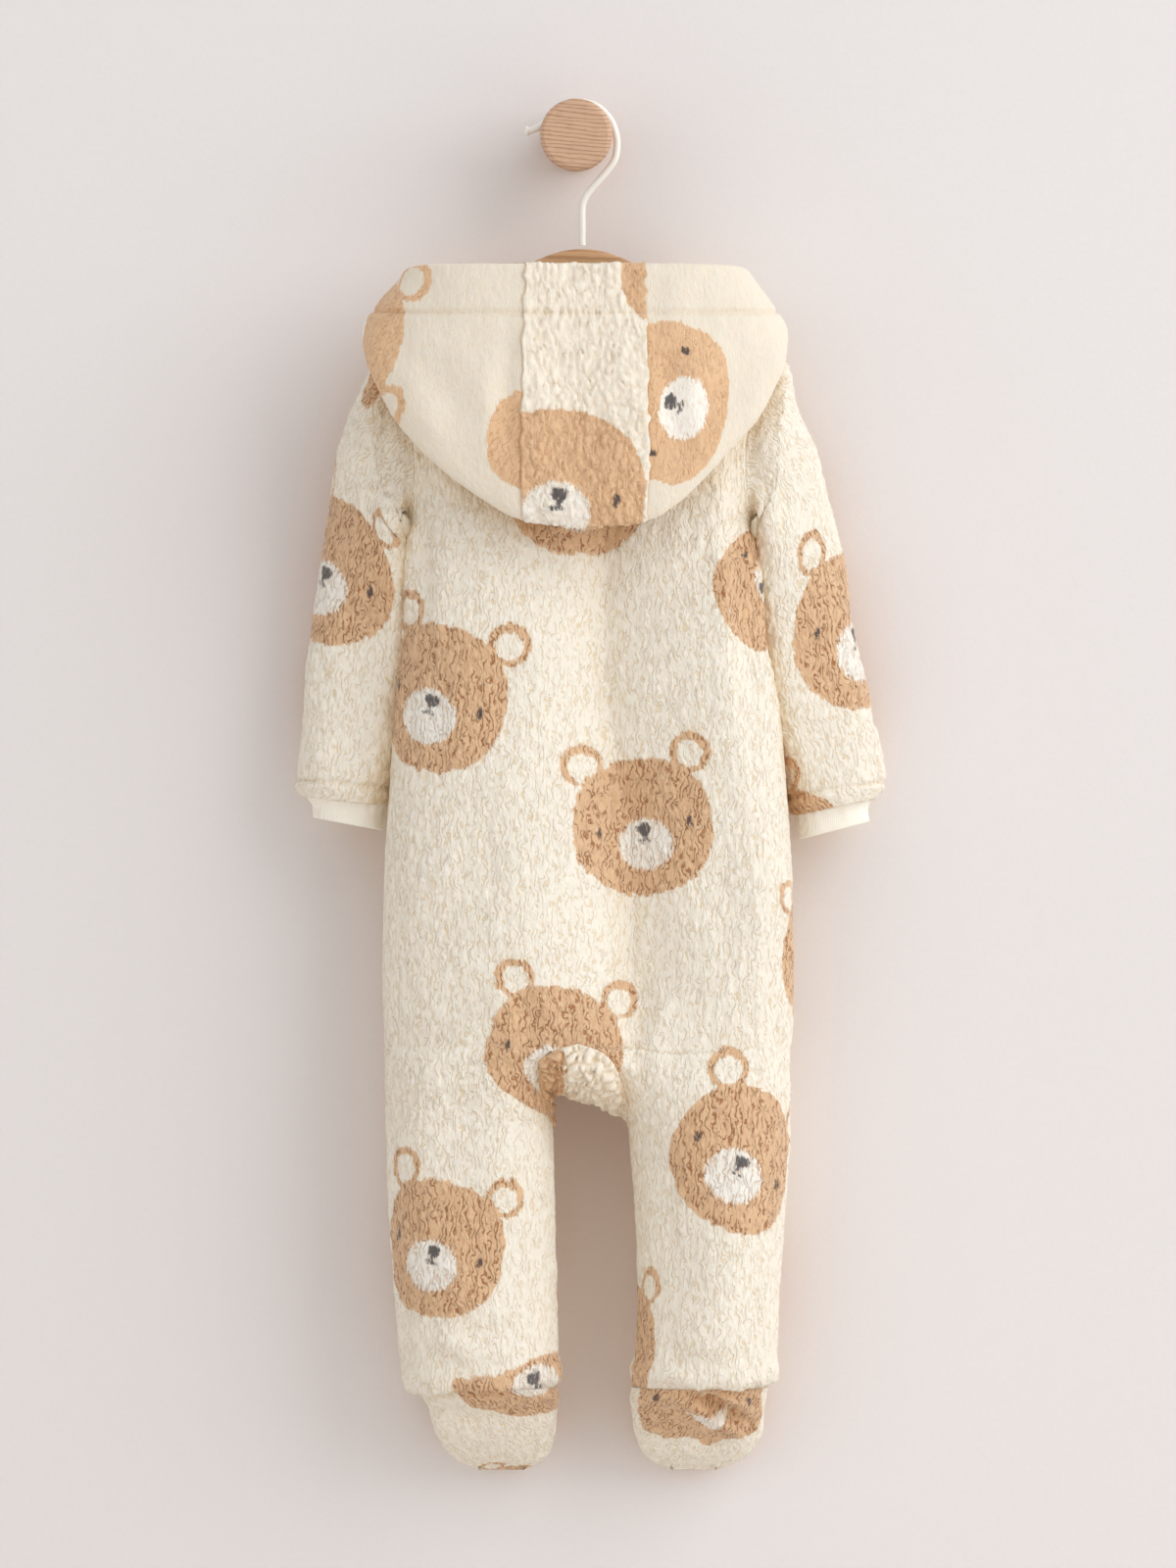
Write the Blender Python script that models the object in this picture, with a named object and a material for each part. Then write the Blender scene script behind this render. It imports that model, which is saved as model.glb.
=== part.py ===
"""Baby's footed pramsuit in thick teddy fleece, on a wooden hanger that hangs from a wall peg.

The wall is the plane y = 0 and the peg stands out of it along -Y.  The suit hangs with its back
towards -Y, away from the wall, and its own left side at -X.  Every cloth piece is a wall that
follows one tube of sections, so neighbouring pieces share their seam lines, and each stops short
of them by half the seam gap.  Tables are in millimetres.
"""

import math

import bmesh
import bpy
from mathutils import Vector

MM = 0.001
FLEECE = 3.5            # wall of the fleece, backing and pressed pile together
JERSEY = 2.0            # wall of the cuffs
SEAM_GAP = 0.3          # between two pieces that are sewn together
REST_GAP = 4.0          # between the hood and the back that it lies on
RIDGE_LIFT = 2.5        # and this much more over the shoulder's ridge
FLATTEN = 0.85          # power that squares off the rounded sections
STEP = 0.5              # distance used to measure slopes
ONE_TUBE = 0.501        # below this wrap the section is one tube
TWO_TUBES = 0.999       # above this wrap it is two closed legs

# ------------------------------------------------------------------ tables
# Sections of the suit from neck to heel.  left and right are the side seams, mid_left and mid_right
# the middle line, or the insides of the two legs, side_y the depth of the side seams, and wrap is
# 0.5 where the section is one tube and 1 where it is two legs.
SUIT = (
    "z left right mid_left mid_right side_y back_y front_y wrap",
    (-77, -47, 53, 3, 3, -50, -77, -24, 0.5),
    (-91, -75, 81, 3, 3, -50, -79, -21, 0.5),
    (-106, -101, 106, 3, 3, -50, -81, -18, 0.5),
    (-113, -107, 111.5, 3, 3, -50, -82, -17, 0.5),
    (-150, -105, 108, 3, 3, -50, -86, -14, 0.5),
    (-190, -99, 103, 3, 3, -51, -90, -12, 0.5),
    (-215, -97, 101, 3, 3, -52, -92, -11, 0.5),
    (-245, -96, 103, 4, 4, -57, -94, -10, 0.5),
    (-278, -96, 105, 5, 5, -58, -96, -9, 0.5),
    (-315, -100, 112, 6, 6, -58, -97, -9, 0.5),
    (-360, -103, 116, 6, 6, -57, -98, -9, 0.5),
    (-410, -106, 119, 6, 6, -56, -99, -8, 0.5),
    (-467, -107, 120, 4, 4, -55, -99, -9, 0.5),
    (-501, -106, 119, 1, 1, -54, -98, -10, 0.5),
    (-505, -106, 118, -11, 12, -54, -98, -10, 0.55),
    (-512, -106, 118, -20, 20, -54, -97, -10, 0.65),
    (-523, -106, 118, -20, 25, -54, -97, -11, 0.78),
    (-536, -105, 118, -16, 28, -54, -96, -11, 0.9),
    (-549, -105, 118, -13, 29, -54, -96, -12, 1.0),
    (-602, -103, 115, -12, 33, -53, -95, -12, 1.0),
    (-645, -100, 112, -11, 34, -52, -94, -12, 1.0),
    (-672, -98, 111, -10, 33, -51, -92, -13, 1.0),
    (-684, -95, 110, -10, 32, -50, -89, -13, 1.0),
    (-692, -89, 106, -11, 31, -48, -83, -13, 1.0),
)
# Sections of the two feet, which slope from the heel down to the toes beside the wall.
FEET = (
    "z left right mid_left mid_right side_y back_y front_y wrap",
    (-692, -89, 106, -11, 31, -48, -83, -13, 1.0),
    (-698, -85, 105, -10, 30, -47, -78, -12, 1.0),
    (-706, -81, 104, -11, 31, -42, -67, -10, 1.0),
    (-715, -78, 103, -12, 33, -35, -53, -9, 1.0),
    (-724, -72, 98, -15, 37, -28, -40, -9, 1.0),
    (-731, -64, 88, -20, 43, -22, -29, -11, 1.0),
    (-736, -52, 76, -31, 55, -18, -18.2, -17.8, 1.0),
)
# Sections of the sleeves below the armhole, each from its outer to its inner fold.
LEFT_SLEEVE = (
    "row outer_x outer_z inner_x inner_z mid_y half_depth",
    (1, -113, -127, -99.5, -220, -49, 26),
    (2, -121, -146, -100, -225, -47, 28),
    (3, -129, -166, -100, -231, -43, 28.5),
    (4, -134.5, -190, -98, -243, -39, 28),
    (5, -140, -216, -96, -258, -35, 27),
    (6, -144, -246, -95, -277, -33, 26),
    (7, -148, -282, -95.5, -302, -32, 25),
    (8, -151.5, -316, -97, -329, -32, 25),
    (9, -154.5, -345, -98.5, -352, -33, 25),
    (10, -155, -358, -99.5, -364, -33, 24),
    (11, -152.5, -365, -102, -370, -33, 22),
)
RIGHT_SLEEVE = (
    "row outer_x outer_z inner_x inner_z mid_y half_depth",
    (1, 116, -127, 103.5, -220, -49, 26),
    (2, 121.5, -148, 104.5, -225, -47, 28),
    (3, 130, -170, 105, -231, -43, 28.5),
    (4, 138, -192, 104.5, -243, -39, 28),
    (5, 144.5, -217, 104.5, -258, -35, 27),
    (6, 151, -247, 105, -277, -33, 26),
    (7, 157.5, -283, 107.5, -302, -32, 25),
    (8, 163.5, -319, 111, -329, -32, 25),
    (9, 169, -346, 114, -354, -33, 25),
    (10, 169.5, -358, 115.5, -368, -33, 24),
    (11, 166, -366, 118.5, -375, -33, 22),
)
# The jersey cuffs, in the same columns.
LEFT_CUFF = (
    "row outer_x outer_z inner_x inner_z mid_y half_depth",
    (0, -149.5, -365.7, -104.5, -370.6, -33, 18.5),
    (1, -146.5, -371, -106, -377, -33, 16.5),
    (2, -146, -376.5, -106.5, -383.5, -33, 16.5),
)
RIGHT_CUFF = (
    "row outer_x outer_z inner_x inner_z mid_y half_depth",
    (0, 163.2, -366.9, 121, -375.3, -33, 18.5),
    (1, 162, -373, 122, -381, -33, 16.5),
    (2, 162.8, -378.5, 123.5, -388.5, -33, 16.5),
)
# Half of the dropped hood, from the middle of the back (round 0) over the shoulder (1) to the
# throat (2): where it folds under, and its turned edge.  reach is the distance from the middle.
HOOD = (
    "round fold_reach fold_y fold_z hem_reach hem_y hem_z lean power",
    (0.0, 0, -113, -217, 0, -110, -71, 4.5, 0.75),
    (0.25, 34.5, -112, -214, 34.5, -109.5, -71, 4.5, 0.75),
    (0.45, 60, -109, -199, 60, -107, -71.5, 2, 0.8),
    (0.65, 86, -102, -172, 80, -100, -72.5, 0, 0.9),
    (0.85, 105, -92, -138, 92, -88, -75, 0, 1.0),
    (1.0, 109, -76, -104, 95, -70, -79, 0, 1.0),
    (1.2, 103, -48, -98, 88, -44, -84, 0, 1.0),
    (1.5, 76, -20, -106, 68, -24, -95, 0, 1.0),
    (1.75, 42, -10, -120, 40, -13, -109, 0, 1.0),
    (1.96, 17, -8, -130, 15, -11, -121, 0, 1.0),
)

ARMHOLE_TOP = -113
ARMHOLE_FOOT = -215
ARMHOLE_CUT = 12        # how far the armhole is cut into the panels
CROTCH = -501
TOE = -736
NECK = -77
NECK_DROP = 36          # the throat lies this much lower than the nape
NECK_BLEND = 66         # over which height that drop dies out
NECK_ROLL = 2.4         # radius of the roll where the hood turns over
HOOD_SEAM = 6           # column of the neck edge where the hood's middle strip is sewn on
HOOD_STEPS = 12         # steps of the hood's section between its neck roll and its turned edge
ROLL_STEPS = 3
GUSSET_SAG = 11         # the middle of the gusset hangs below its seams
ZIP_FOOT = -470
ZIP_HALF = 5.0          # half the width of the zip that shows
ZIP_THICK = 2.4

COLUMNS = 8             # columns of a quarter section
CUFF_SIDES = 16
UPPER_ROWS = (-77, -83, -91, -100, -107, -113)
ARMHOLE_ROWS = (-113, -121, -132, -148, -168, -188, -205, -215)
TRUNK_ROWS = (-215, -245, -278, -315, -360, -410, -470, -473, -501)
SPLIT_ROWS = (-501, -505, -512, -523, -536, -549)
LEG_ROWS = (-549, -602, -645, -672, -684, -692)
FOOT_ROWS = (-692, -698, -706, -715, -724, -731, -736)
TRUNK = tuple(dict.fromkeys(UPPER_ROWS + ARMHOLE_ROWS + TRUNK_ROWS))
LEGS = tuple(dict.fromkeys(SPLIT_ROWS + LEG_ROWS))
ZIP_ROWS = tuple(z for z in TRUNK if z >= ZIP_FOOT)

ZIP_X = 2.0             # middle of the zip at its slider
ZIP_FRONT = -15.0       # face of the zip there, where the slider's plate starts
SLIDER_Z = -124
PULL_Y = ZIP_FRONT + 4.4    # the hinge, inside the bridge's loop
PLATE = (4.0, 7.0, 5.0, 3.0)            # the slider's plate: half width, below, above, depth
BRIDGE = (1.5, 3.7, 2.4, 5.8, 7.3)      # half width, half height, its hollow's, depths of its bar
SLIDER_BEVEL = 0.25
PULL_PLATE = (3.8, 0.7, 20.0, 23.0)     # half width, top, start of the tapered end, tip
PULL_TAPER = 1.6
PULL_THICK = 1.4
PULL_EYE = (2.1, 6.0)                   # half width of the eye and how far down it reaches

HOOK_X = 3.2            # the hook's shank and the hanger's middle
HOOK_Y = -50            # depth of the hanger, halfway through the suit
HANGER_TOP = -61.5
HANGER_REACH = 98
HANGER_HEIGHT = 18
HANGER_THICK = 12
HANGER_TAPER = 0.3      # share of its height that the bar loses towards its ends
HANGER_SIDES = 12
HANGER_SQUARE = 0.55    # power that squares off the bar's section
HANGER_END = ((7, 1.0), (3, 0.88), (0.8, 0.66), (0, 0.4))   # distance from the tip, scale there
CROWN_RADIUS = 53.5
CROWN_REACH = 29
ARM_SLOPE = 0.61
WIRE_RADIUS = 1.85
TIP_SWELL = 1.3         # the tip's ball against the wire
HOOK_POINTS = (         # x and z of the wire's middle, from its tip over the peg and down
    (-27.5, 3.2), (-24, 3.6), (-19.5, 5.6), (-13.2, 12.2), (-5.5, 17.2), (4, 18.7), (12.5, 15.8),
    (19, 9), (22, 0), (21.8, -8), (19, -16), (13.2, -24), (6.8, -31.5), (3.6, -39), (3.2, -47),
)
PEG_SIDES = 40
PEG_PROFILE = (         # y and radius, from the wall to the middle of the head
    (0, 15.4), (-1, 16.2), (-8, 16.2), (-54, 15.6), (-56, 16.4), (-56.6, 19.2), (-57.6, 20),
    (-67.5, 20), (-69.2, 19.3), (-70, 17.6),
)

FLEECE_COLOUR = (0.86, 0.79, 0.67)
JERSEY_COLOUR = (0.87, 0.82, 0.72)
ZIP_COLOUR = (0.80, 0.74, 0.63)
METAL_COLOUR = (0.72, 0.70, 0.66)
WIRE_COLOUR = (0.85, 0.83, 0.78)
HANGER_COLOUR = (0.58, 0.36, 0.19)
PEG_COLOUR = (0.62, 0.42, 0.24)


class Table:
    """Rows of sizes with named columns, read smoothly between its keys."""

    def __init__(self, rows):
        self.names = rows[0].split()[1:]
        self.rows = sorted(rows[1:])
        self.keys = [row[0] for row in self.rows]

    def slope(self, i, column):
        """Slope of a column at row i that never overshoots its neighbours."""
        if i in (0, len(self.rows) - 1):
            return 0.0 if len(self.rows) < 3 else self.chord(min(i, len(self.rows) - 2), column)
        before, after = self.chord(i - 1, column), self.chord(i, column)
        if before * after <= 0:
            return 0.0
        return 2 * before * after / (before + after)

    def chord(self, i, column):
        low, high = self.rows[i], self.rows[i + 1]
        return (high[column] - low[column]) / (high[0] - low[0])

    def at(self, key):
        """All columns at one key, by name."""
        key = min(max(key, self.keys[0]), self.keys[-1])
        i = max(k for k in range(len(self.keys) - 1) if self.keys[k] <= key)
        width = self.keys[i + 1] - self.keys[i]
        f = (key - self.keys[i]) / width
        values = {}
        for column, name in enumerate(self.names, start=1):
            a, b = self.rows[i][column], self.rows[i + 1][column]
            sa, sb = self.slope(i, column) * width, self.slope(i + 1, column) * width
            values[name] = (a * (1 + 2 * f) * (1 - f) ** 2 + b * f * f * (3 - 2 * f)
                            + sa * f * (1 - f) ** 2 - sb * f * f * (1 - f))
        return values


SUIT_TABLE = Table(SUIT)
FEET_TABLE = Table(FEET)
HOOD_TABLE = Table(HOOD)


# ------------------------------------------------------------------ the tube that the pieces follow
def signed_power(value, power):
    return math.copysign(abs(value) ** power, value)


def across(turn):
    """How far along the section's width the point at this turn lies, from 1 down to -1."""
    return signed_power(math.cos(turn), FLATTEN)


def column_turn(sizes, reach):
    """Share of the quarter arc at which the section is `reach` of its half width from the side."""
    full = math.pi * sizes["wrap"]
    cosine = (1 - reach * (1 - across(full))) ** (1 / FLATTEN)
    return math.acos(cosine) / full


def middle_line(sizes, side):
    """Where a quarter section ends: at the one middle line, or on the inside of its own leg."""
    if sizes["wrap"] < ONE_TUBE:
        return (sizes["mid_left"] + sizes["mid_right"]) / 2
    return sizes["mid_" + side]


def section_point(table, side, face, z, t):
    """Point of one quarter of the section at height z: t is 0 at the side seam and 1 at the middle."""
    lowered = z
    if face == "front" and z > NECK - NECK_BLEND:
        fade = 1 - (NECK - z) / NECK_BLEND
        lowered = z - NECK_DROP * fade * fade * t * t * (3 - 2 * t)
    sizes, depth = table.at(z), table.at(lowered)
    full = math.pi * sizes["wrap"]
    along = (1 - across(full * t)) / (1 - across(full))
    outer, inner = sizes[side], middle_line(sizes, side)
    bulge = abs(math.sin(full * t)) ** FLATTEN
    y = depth["side_y"] + (depth[face + "_y"] - depth["side_y"]) * bulge
    return Vector((outer + (inner - outer) * along, y, lowered))


def around(table, side, face, z, t):
    """The same point, where t may run past a seam onto the neighbouring quarter."""
    other_face = "front" if face == "back" else "back"
    other_side = "right" if side == "left" else "left"
    if t < 0:
        return section_point(table, side, other_face, z, -t)
    if t > 1 and table.at(z)["wrap"] > TWO_TUBES:
        return section_point(table, side, other_face, z, 2 - t)
    if t > 1 and table.at(z)["wrap"] < ONE_TUBE:
        return section_point(table, other_side, face, z, 2 - t)
    return section_point(table, side, face, z, min(t, 1.0))


def outward(table, side, face, z, t):
    """Unit normal of the suit's outside."""
    if table is FEET_TABLE and z <= TOE:
        return Vector((0, 0, -1))
    step_t = 0.02
    step_up = 0 if z + STEP > table.keys[-1] else STEP
    step_down = 0 if z - STEP < table.keys[0] else STEP
    ring = around(table, side, face, z, t + step_t) - around(table, side, face, z, t - step_t)
    rise = around(table, side, face, z + step_up, t) - around(table, side, face, z - step_down, t)
    normal = ring.cross(rise).normalized()
    middle = Vector((table.at(z)["mid_" + side], table.at(z)["side_y"], z))
    if table.at(z)["wrap"] > ONE_TUBE:
        middle.x = (table.at(z)["mid_" + side] + table.at(z)[side]) / 2
    away = section_point(table, side, face, z, t) - middle
    away.z = 0
    return -normal if normal.dot(away) < 0 else normal


def wall(table, side, face, z, t, thickness=FLEECE):
    """Outer and inner point of the wall."""
    outer = section_point(table, side, face, z, t)
    return outer, outer - outward(table, side, face, z, t) * thickness


# ------------------------------------------------------------------ closed pieces of cloth
class Cloth:
    """A piece of cloth: quads between pairs of points, one outside and one inside."""

    def __init__(self, name, colour, roughness=0.95):
        self.name = name
        self.colour = colour
        self.roughness = roughness
        self.points = {}
        self.quads = []

    def strip(self, rows):
        """Add rows of (key, outer, inner); equal keys are the same point."""
        for row in rows:
            for key, outer, inner in row:
                self.points.setdefault(key, (outer, inner))
        for upper, lower in zip(rows, rows[1:]):
            for i in range(len(upper) - 1):
                self.quads.append((upper[i][0], upper[i + 1][0], lower[i + 1][0], lower[i][0]))

    def borders(self):
        """Edges that only one quad uses, with that quad."""
        uses = {}
        for quad in self.quads:
            for a, b in zip(quad, quad[1:] + quad[:1]):
                uses.setdefault(frozenset((a, b)), []).append((a, b, quad))
        return [found[0] for found in uses.values() if len(found) == 1]

    def drawn_in(self, layer, borders):
        """One layer's points, with those on the border moved in by half the seam gap."""
        moves = {}
        for a, b, quad in borders:
            start, end = self.points[a][layer], self.points[b][layer]
            centre = sum((self.points[key][layer] for key in quad), Vector()) / 4
            along = (end - start).normalized()
            inward = centre - start
            inward = (inward - along * inward.dot(along)).normalized()
            moves.setdefault(a, []).append(inward)
            moves.setdefault(b, []).append(inward)
        placed = {}
        for key, pair in self.points.items():
            point = pair[layer]
            if key in moves:
                total = sum(moves[key], Vector())
                share = 1 + moves[key][0].dot(moves[key][-1]) if len(moves[key]) > 1 else 1
                point = point + total / max(share, 0.3) * (SEAM_GAP / 2)
            placed[key] = point
        return placed

    def rank(self, key):
        """Orders the ends of a seam's edge alike on both of its pieces."""
        point = self.points[key][0]
        return point.z + 0.37 * point.y + 0.11 * point.x

    def build(self):
        """Close the two layers with a rim along every border."""
        borders = self.borders()
        mesh = bmesh.new()
        layers = []
        for layer in (0, 1):
            placed = self.drawn_in(layer, borders)
            layers.append({key: mesh.verts.new(point * MM) for key, point in placed.items()})
        for quad in self.quads:
            mesh.faces.new([layers[0][key] for key in quad])
            mesh.faces.new([layers[1][key] for key in reversed(quad)])
        for a, b, _ in borders:
            first, second = (a, b) if self.rank(a) < self.rank(b) else (b, a)
            outer, inner = layers
            mesh.faces.new((outer[first], outer[second], inner[first]))
            mesh.faces.new((outer[second], inner[second], inner[first]))
        bmesh.ops.triangulate(mesh, faces=mesh.faces, quad_method="SHORT_EDGE")
        bmesh.ops.recalc_face_normals(mesh, faces=mesh.faces)
        return finish_mesh(self.name, mesh, self.colour, self.roughness)


def finish_mesh(name, mesh, colour, roughness, metallic=0.0):
    """Put a closed mesh into the scene with its own material."""
    data = bpy.data.meshes.new(name)
    mesh.to_mesh(data)
    mesh.free()
    piece = bpy.data.objects.new(name, data)
    bpy.context.scene.collection.objects.link(piece)
    dress(piece, colour, roughness, metallic)
    data.shade_smooth()
    data.set_sharp_from_angle(angle=math.radians(40))
    return piece


def dress(piece, colour, roughness, metallic=0.0):
    material = bpy.data.materials.new(piece.name)
    material.use_nodes = True
    shader = material.node_tree.nodes["Principled BSDF"]
    shader.inputs["Base Color"].default_value = (*colour, 1)
    shader.inputs["Roughness"].default_value = roughness
    shader.inputs["Metallic"].default_value = metallic
    piece.data.materials.append(material)


# ------------------------------------------------------------------ trunk, legs and feet
def armhole_turn(z):
    """Where the panel starts beside the armhole, as a share of the quarter arc."""
    if not ARMHOLE_FOOT < z < ARMHOLE_TOP:
        return 0
    cut = ARMHOLE_CUT * math.sin(math.pi * (z - ARMHOLE_FOOT) / (ARMHOLE_TOP - ARMHOLE_FOOT)) ** 0.6
    sizes = SUIT_TABLE.at(z)
    return column_turn(sizes, cut / (sizes["mid_left"] - sizes["left"]))


def middle_turn(face, z):
    """Where the panel ends at the middle line: the fronts leave room for the zip."""
    if face == "back" or z < ZIP_FOOT:
        return 1.0
    sizes = SUIT_TABLE.at(z)
    return column_turn(sizes, 1 - ZIP_HALF / (sizes["mid_left"] - sizes["left"]))


def suit_row(side, face, z, joined=True):
    """One row of a quarter section from the side seam to the middle line."""
    first, last = armhole_turn(z), middle_turn(face, z)
    row = []
    for i in range(COLUMNS + 1):
        t = first + (last - first) * i / COLUMNS
        shared = i == COLUMNS and joined and face == "back"
        key = (face, z, "middle") if shared else (side, face, z, i)
        outer, inner = wall(SUIT_TABLE, side, face, z, t)
        if i == 0 and ARMHOLE_FOOT <= z <= ARMHOLE_TOP:
            inner = armhole_inner(side, face, z)
        row.append((key, outer, inner))
    return row


def armhole_loop():
    """Heights and faces of the armhole's edge, from the shoulder down the back and up the front."""
    down = [(z, "back") for z in ARMHOLE_ROWS]
    up = [(z, "front") for z in reversed(ARMHOLE_ROWS[1:-1])]
    return down + up


def armhole_edge(side, z, face):
    return section_point(SUIT_TABLE, side, face, z, armhole_turn(z))


def armhole_inner(side, face, z):
    """Inside of the seam at the armhole, on the line that halves the corner of the two walls."""
    loop = armhole_loop()
    if z in (ARMHOLE_TOP, ARMHOLE_FOOT):
        face = "back"
    i = loop.index((z, face))
    outer = armhole_edge(side, z, face)
    ring = sleeve_ring(side, 1)
    before = armhole_edge(side, *loop[i - 1])
    after = armhole_edge(side, *loop[(i + 1) % len(loop)])
    sleeve_normal = (after - before).cross(ring[i] - outer).normalized()
    centre = sum((armhole_edge(side, *spot) for spot in loop), Vector()) / len(loop)
    if sleeve_normal.dot(outer - centre) < 0:
        sleeve_normal.negate()
    corner = sleeve_normal + outward(SUIT_TABLE, side, face, z, armhole_turn(z))
    return outer - corner.normalized() * FLEECE


def make_back():
    back = Cloth("back", FLEECE_COLOUR)
    for side in ("left", "right"):
        back.strip([suit_row(side, "back", z) for z in TRUNK])
        legs = [suit_row(side, "back", z, joined=z == CROTCH) for z in LEGS]
        back.strip(legs)
    return back.build()


def make_front(side):
    front = Cloth("front_" + side, FLEECE_COLOUR)
    front.strip([suit_row(side, "front", z, joined=False) for z in TRUNK + LEGS[1:]])
    return front.build()


def crotch_edge(side, face):
    return [wall(SUIT_TABLE, side, face, z, 1.0) for z in SPLIT_ROWS]


def make_gusset():
    """The diamond between the legs, blended from its four seam lines."""
    last = len(SPLIT_ROWS) - 1
    edges = {(side, face): crotch_edge(side, face)
             for side in ("left", "right") for face in ("back", "front")}
    gusset = Cloth("crotch_gusset", FLEECE_COLOUR)
    rows = []
    for i in range(last + 1):
        row = []
        for j in range(last + 1):
            pair = [patch_point(edges, i, j, last, layer) for layer in (0, 1)]
            row.append(((i, j), *pair))
        rows.append(row)
    gusset.strip(rows)
    return gusset.build()


def patch_point(edges, i, j, last, layer):
    """Point of the patch: i runs down the left leg's back edge, j down the right leg's."""
    u, v = i / last, j / last
    sag = Vector((0, 0, -GUSSET_SAG * 16 * u * (1 - u) * v * (1 - v)))
    back_left = edges["left", "back"][i][layer]
    front_right = edges["right", "front"][last - i][layer]
    back_right = edges["right", "back"][j][layer]
    front_left = edges["left", "front"][last - j][layer]
    along_i = back_left * (1 - v) + front_right * v
    along_j = back_right * (1 - u) + front_left * u
    corners = (edges["left", "back"][0][layer] * (1 - u) * (1 - v)
               + edges["left", "back"][last][layer] * u * (1 - v)
               + edges["right", "back"][last][layer] * (1 - u) * v
               + edges["right", "front"][0][layer] * u * v)
    return along_i + along_j - corners + sag


def make_foot(side, face, name):
    piece = Cloth(name + "_" + side, FLEECE_COLOUR)
    rows = []
    for z in FOOT_ROWS:
        rows.append([((z, i), *wall(FEET_TABLE, side, face, z, i / COLUMNS))
                     for i in range(COLUMNS + 1)])
    piece.strip(rows)
    return piece.build()


# ------------------------------------------------------------------ sleeves and cuffs
def tube_ring(sizes, count):
    """Ring of a sleeve from its outer fold over the back to the inner fold and round the front."""
    outer = Vector((sizes["outer_x"], sizes["mid_y"], sizes["outer_z"]))
    inner = Vector((sizes["inner_x"], sizes["mid_y"], sizes["inner_z"]))
    centre, reach = (outer + inner) / 2, (outer - inner) / 2
    ring = []
    for i in range(count):
        turn = math.tau * i / count
        depth = signed_power(math.sin(turn), FLATTEN) * sizes["half_depth"]
        ring.append(centre + reach * across(turn) - Vector((0, depth, 0)))
    return ring


def sleeve_ring(side, row):
    table = Table(LEFT_SLEEVE if side == "left" else RIGHT_SLEEVE)
    return tube_ring(table.at(row), len(armhole_loop()))


def ring_wall(rings, first_inner, thickness):
    """Inner rings of a tube; the first may be given by the seam that it is sewn to."""
    inner = []
    for k, ring in enumerate(rings):
        if k == 0 and first_inner:
            inner.append(first_inner)
            continue
        above, below = rings[max(k - 1, 0)], rings[min(k + 1, len(rings) - 1)]
        centre = sum(ring, Vector()) / len(ring)
        row = []
        for i, point in enumerate(ring):
            tangent = ring[(i + 1) % len(ring)] - ring[i - 1]
            normal = tangent.cross(below[i] - above[i]).normalized()
            if normal.dot(point - centre) < 0:
                normal.negate()
            row.append(point - normal * thickness)
        inner.append(row)
    return inner


def make_tube(name, rings, first_inner, thickness, colour, roughness):
    tube = Cloth(name, colour, roughness)
    inner = ring_wall(rings, first_inner, thickness)
    rows = []
    for k, ring in enumerate(rings):
        row = [((k, i), point, inner[k][i]) for i, point in enumerate(ring)]
        rows.append(row + row[:1])
    tube.strip(rows)
    return tube.build()


def make_sleeve(side):
    loop = armhole_loop()
    rings = [[armhole_edge(side, *spot) for spot in loop]]
    rings += [sleeve_ring(side, row) for row in range(1, 12)]
    seam = [armhole_inner(side, face, z) for z, face in loop]
    return make_tube("sleeve_" + side, rings, seam, FLEECE, FLEECE_COLOUR, 0.95)


def make_cuff(side):
    table = Table(LEFT_CUFF if side == "left" else RIGHT_CUFF)
    rings = [tube_ring(table.at(row), CUFF_SIDES) for row in range(3)]
    return make_tube("cuff_" + side, rings, None, JERSEY, JERSEY_COLOUR, 0.8)


# ------------------------------------------------------------------ hood
def body_depth(x, z, face):
    """Depth of the suit's back or front at x and z, or None beside or above it."""
    if z > NECK:
        return None
    sizes = SUIT_TABLE.at(z)
    middle = middle_line(sizes, "left")
    side = "left" if x < middle else "right"
    reach = (x - sizes[side]) / (middle - sizes[side])
    if reach <= 0:
        return None
    return section_point(SUIT_TABLE, side, face, z, column_turn(sizes, min(reach, 1.0))).y


def shoulder_height(point):
    """Height at which the suit's shoulder lies under or over a point inside the suit."""
    low, high = point.z, NECK
    for _ in range(20):
        z = (low + high) / 2
        back, front = body_depth(point.x, z, "back"), body_depth(point.x, z, "front")
        if back is None or not back < point.y < front:
            high = z
        else:
            low = z
    return high


def lifted_off(point, round_at):
    """Move a point of the hood that would lie inside the suit out to its nearest side."""
    gap = REST_GAP + RIDGE_LIFT * max(0, 1 - abs(round_at - 1) / 0.3)
    back, front = body_depth(point.x, point.z, "back"), body_depth(point.x, point.z, "front")
    if back is None or not back - gap < point.y < front + gap:
        return point
    moves = []
    if round_at < 1.1:
        moves.append(Vector((0, back - gap - point.y, 0)))
    if round_at > 1.1:
        moves.append(Vector((0, front + gap - point.y, 0)))
    if 0.7 < round_at < 1.6:
        moves.append(Vector((0, 0, shoulder_height(point) + gap - point.z)))
    return point + min(moves, key=lambda move: move.length)


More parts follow.
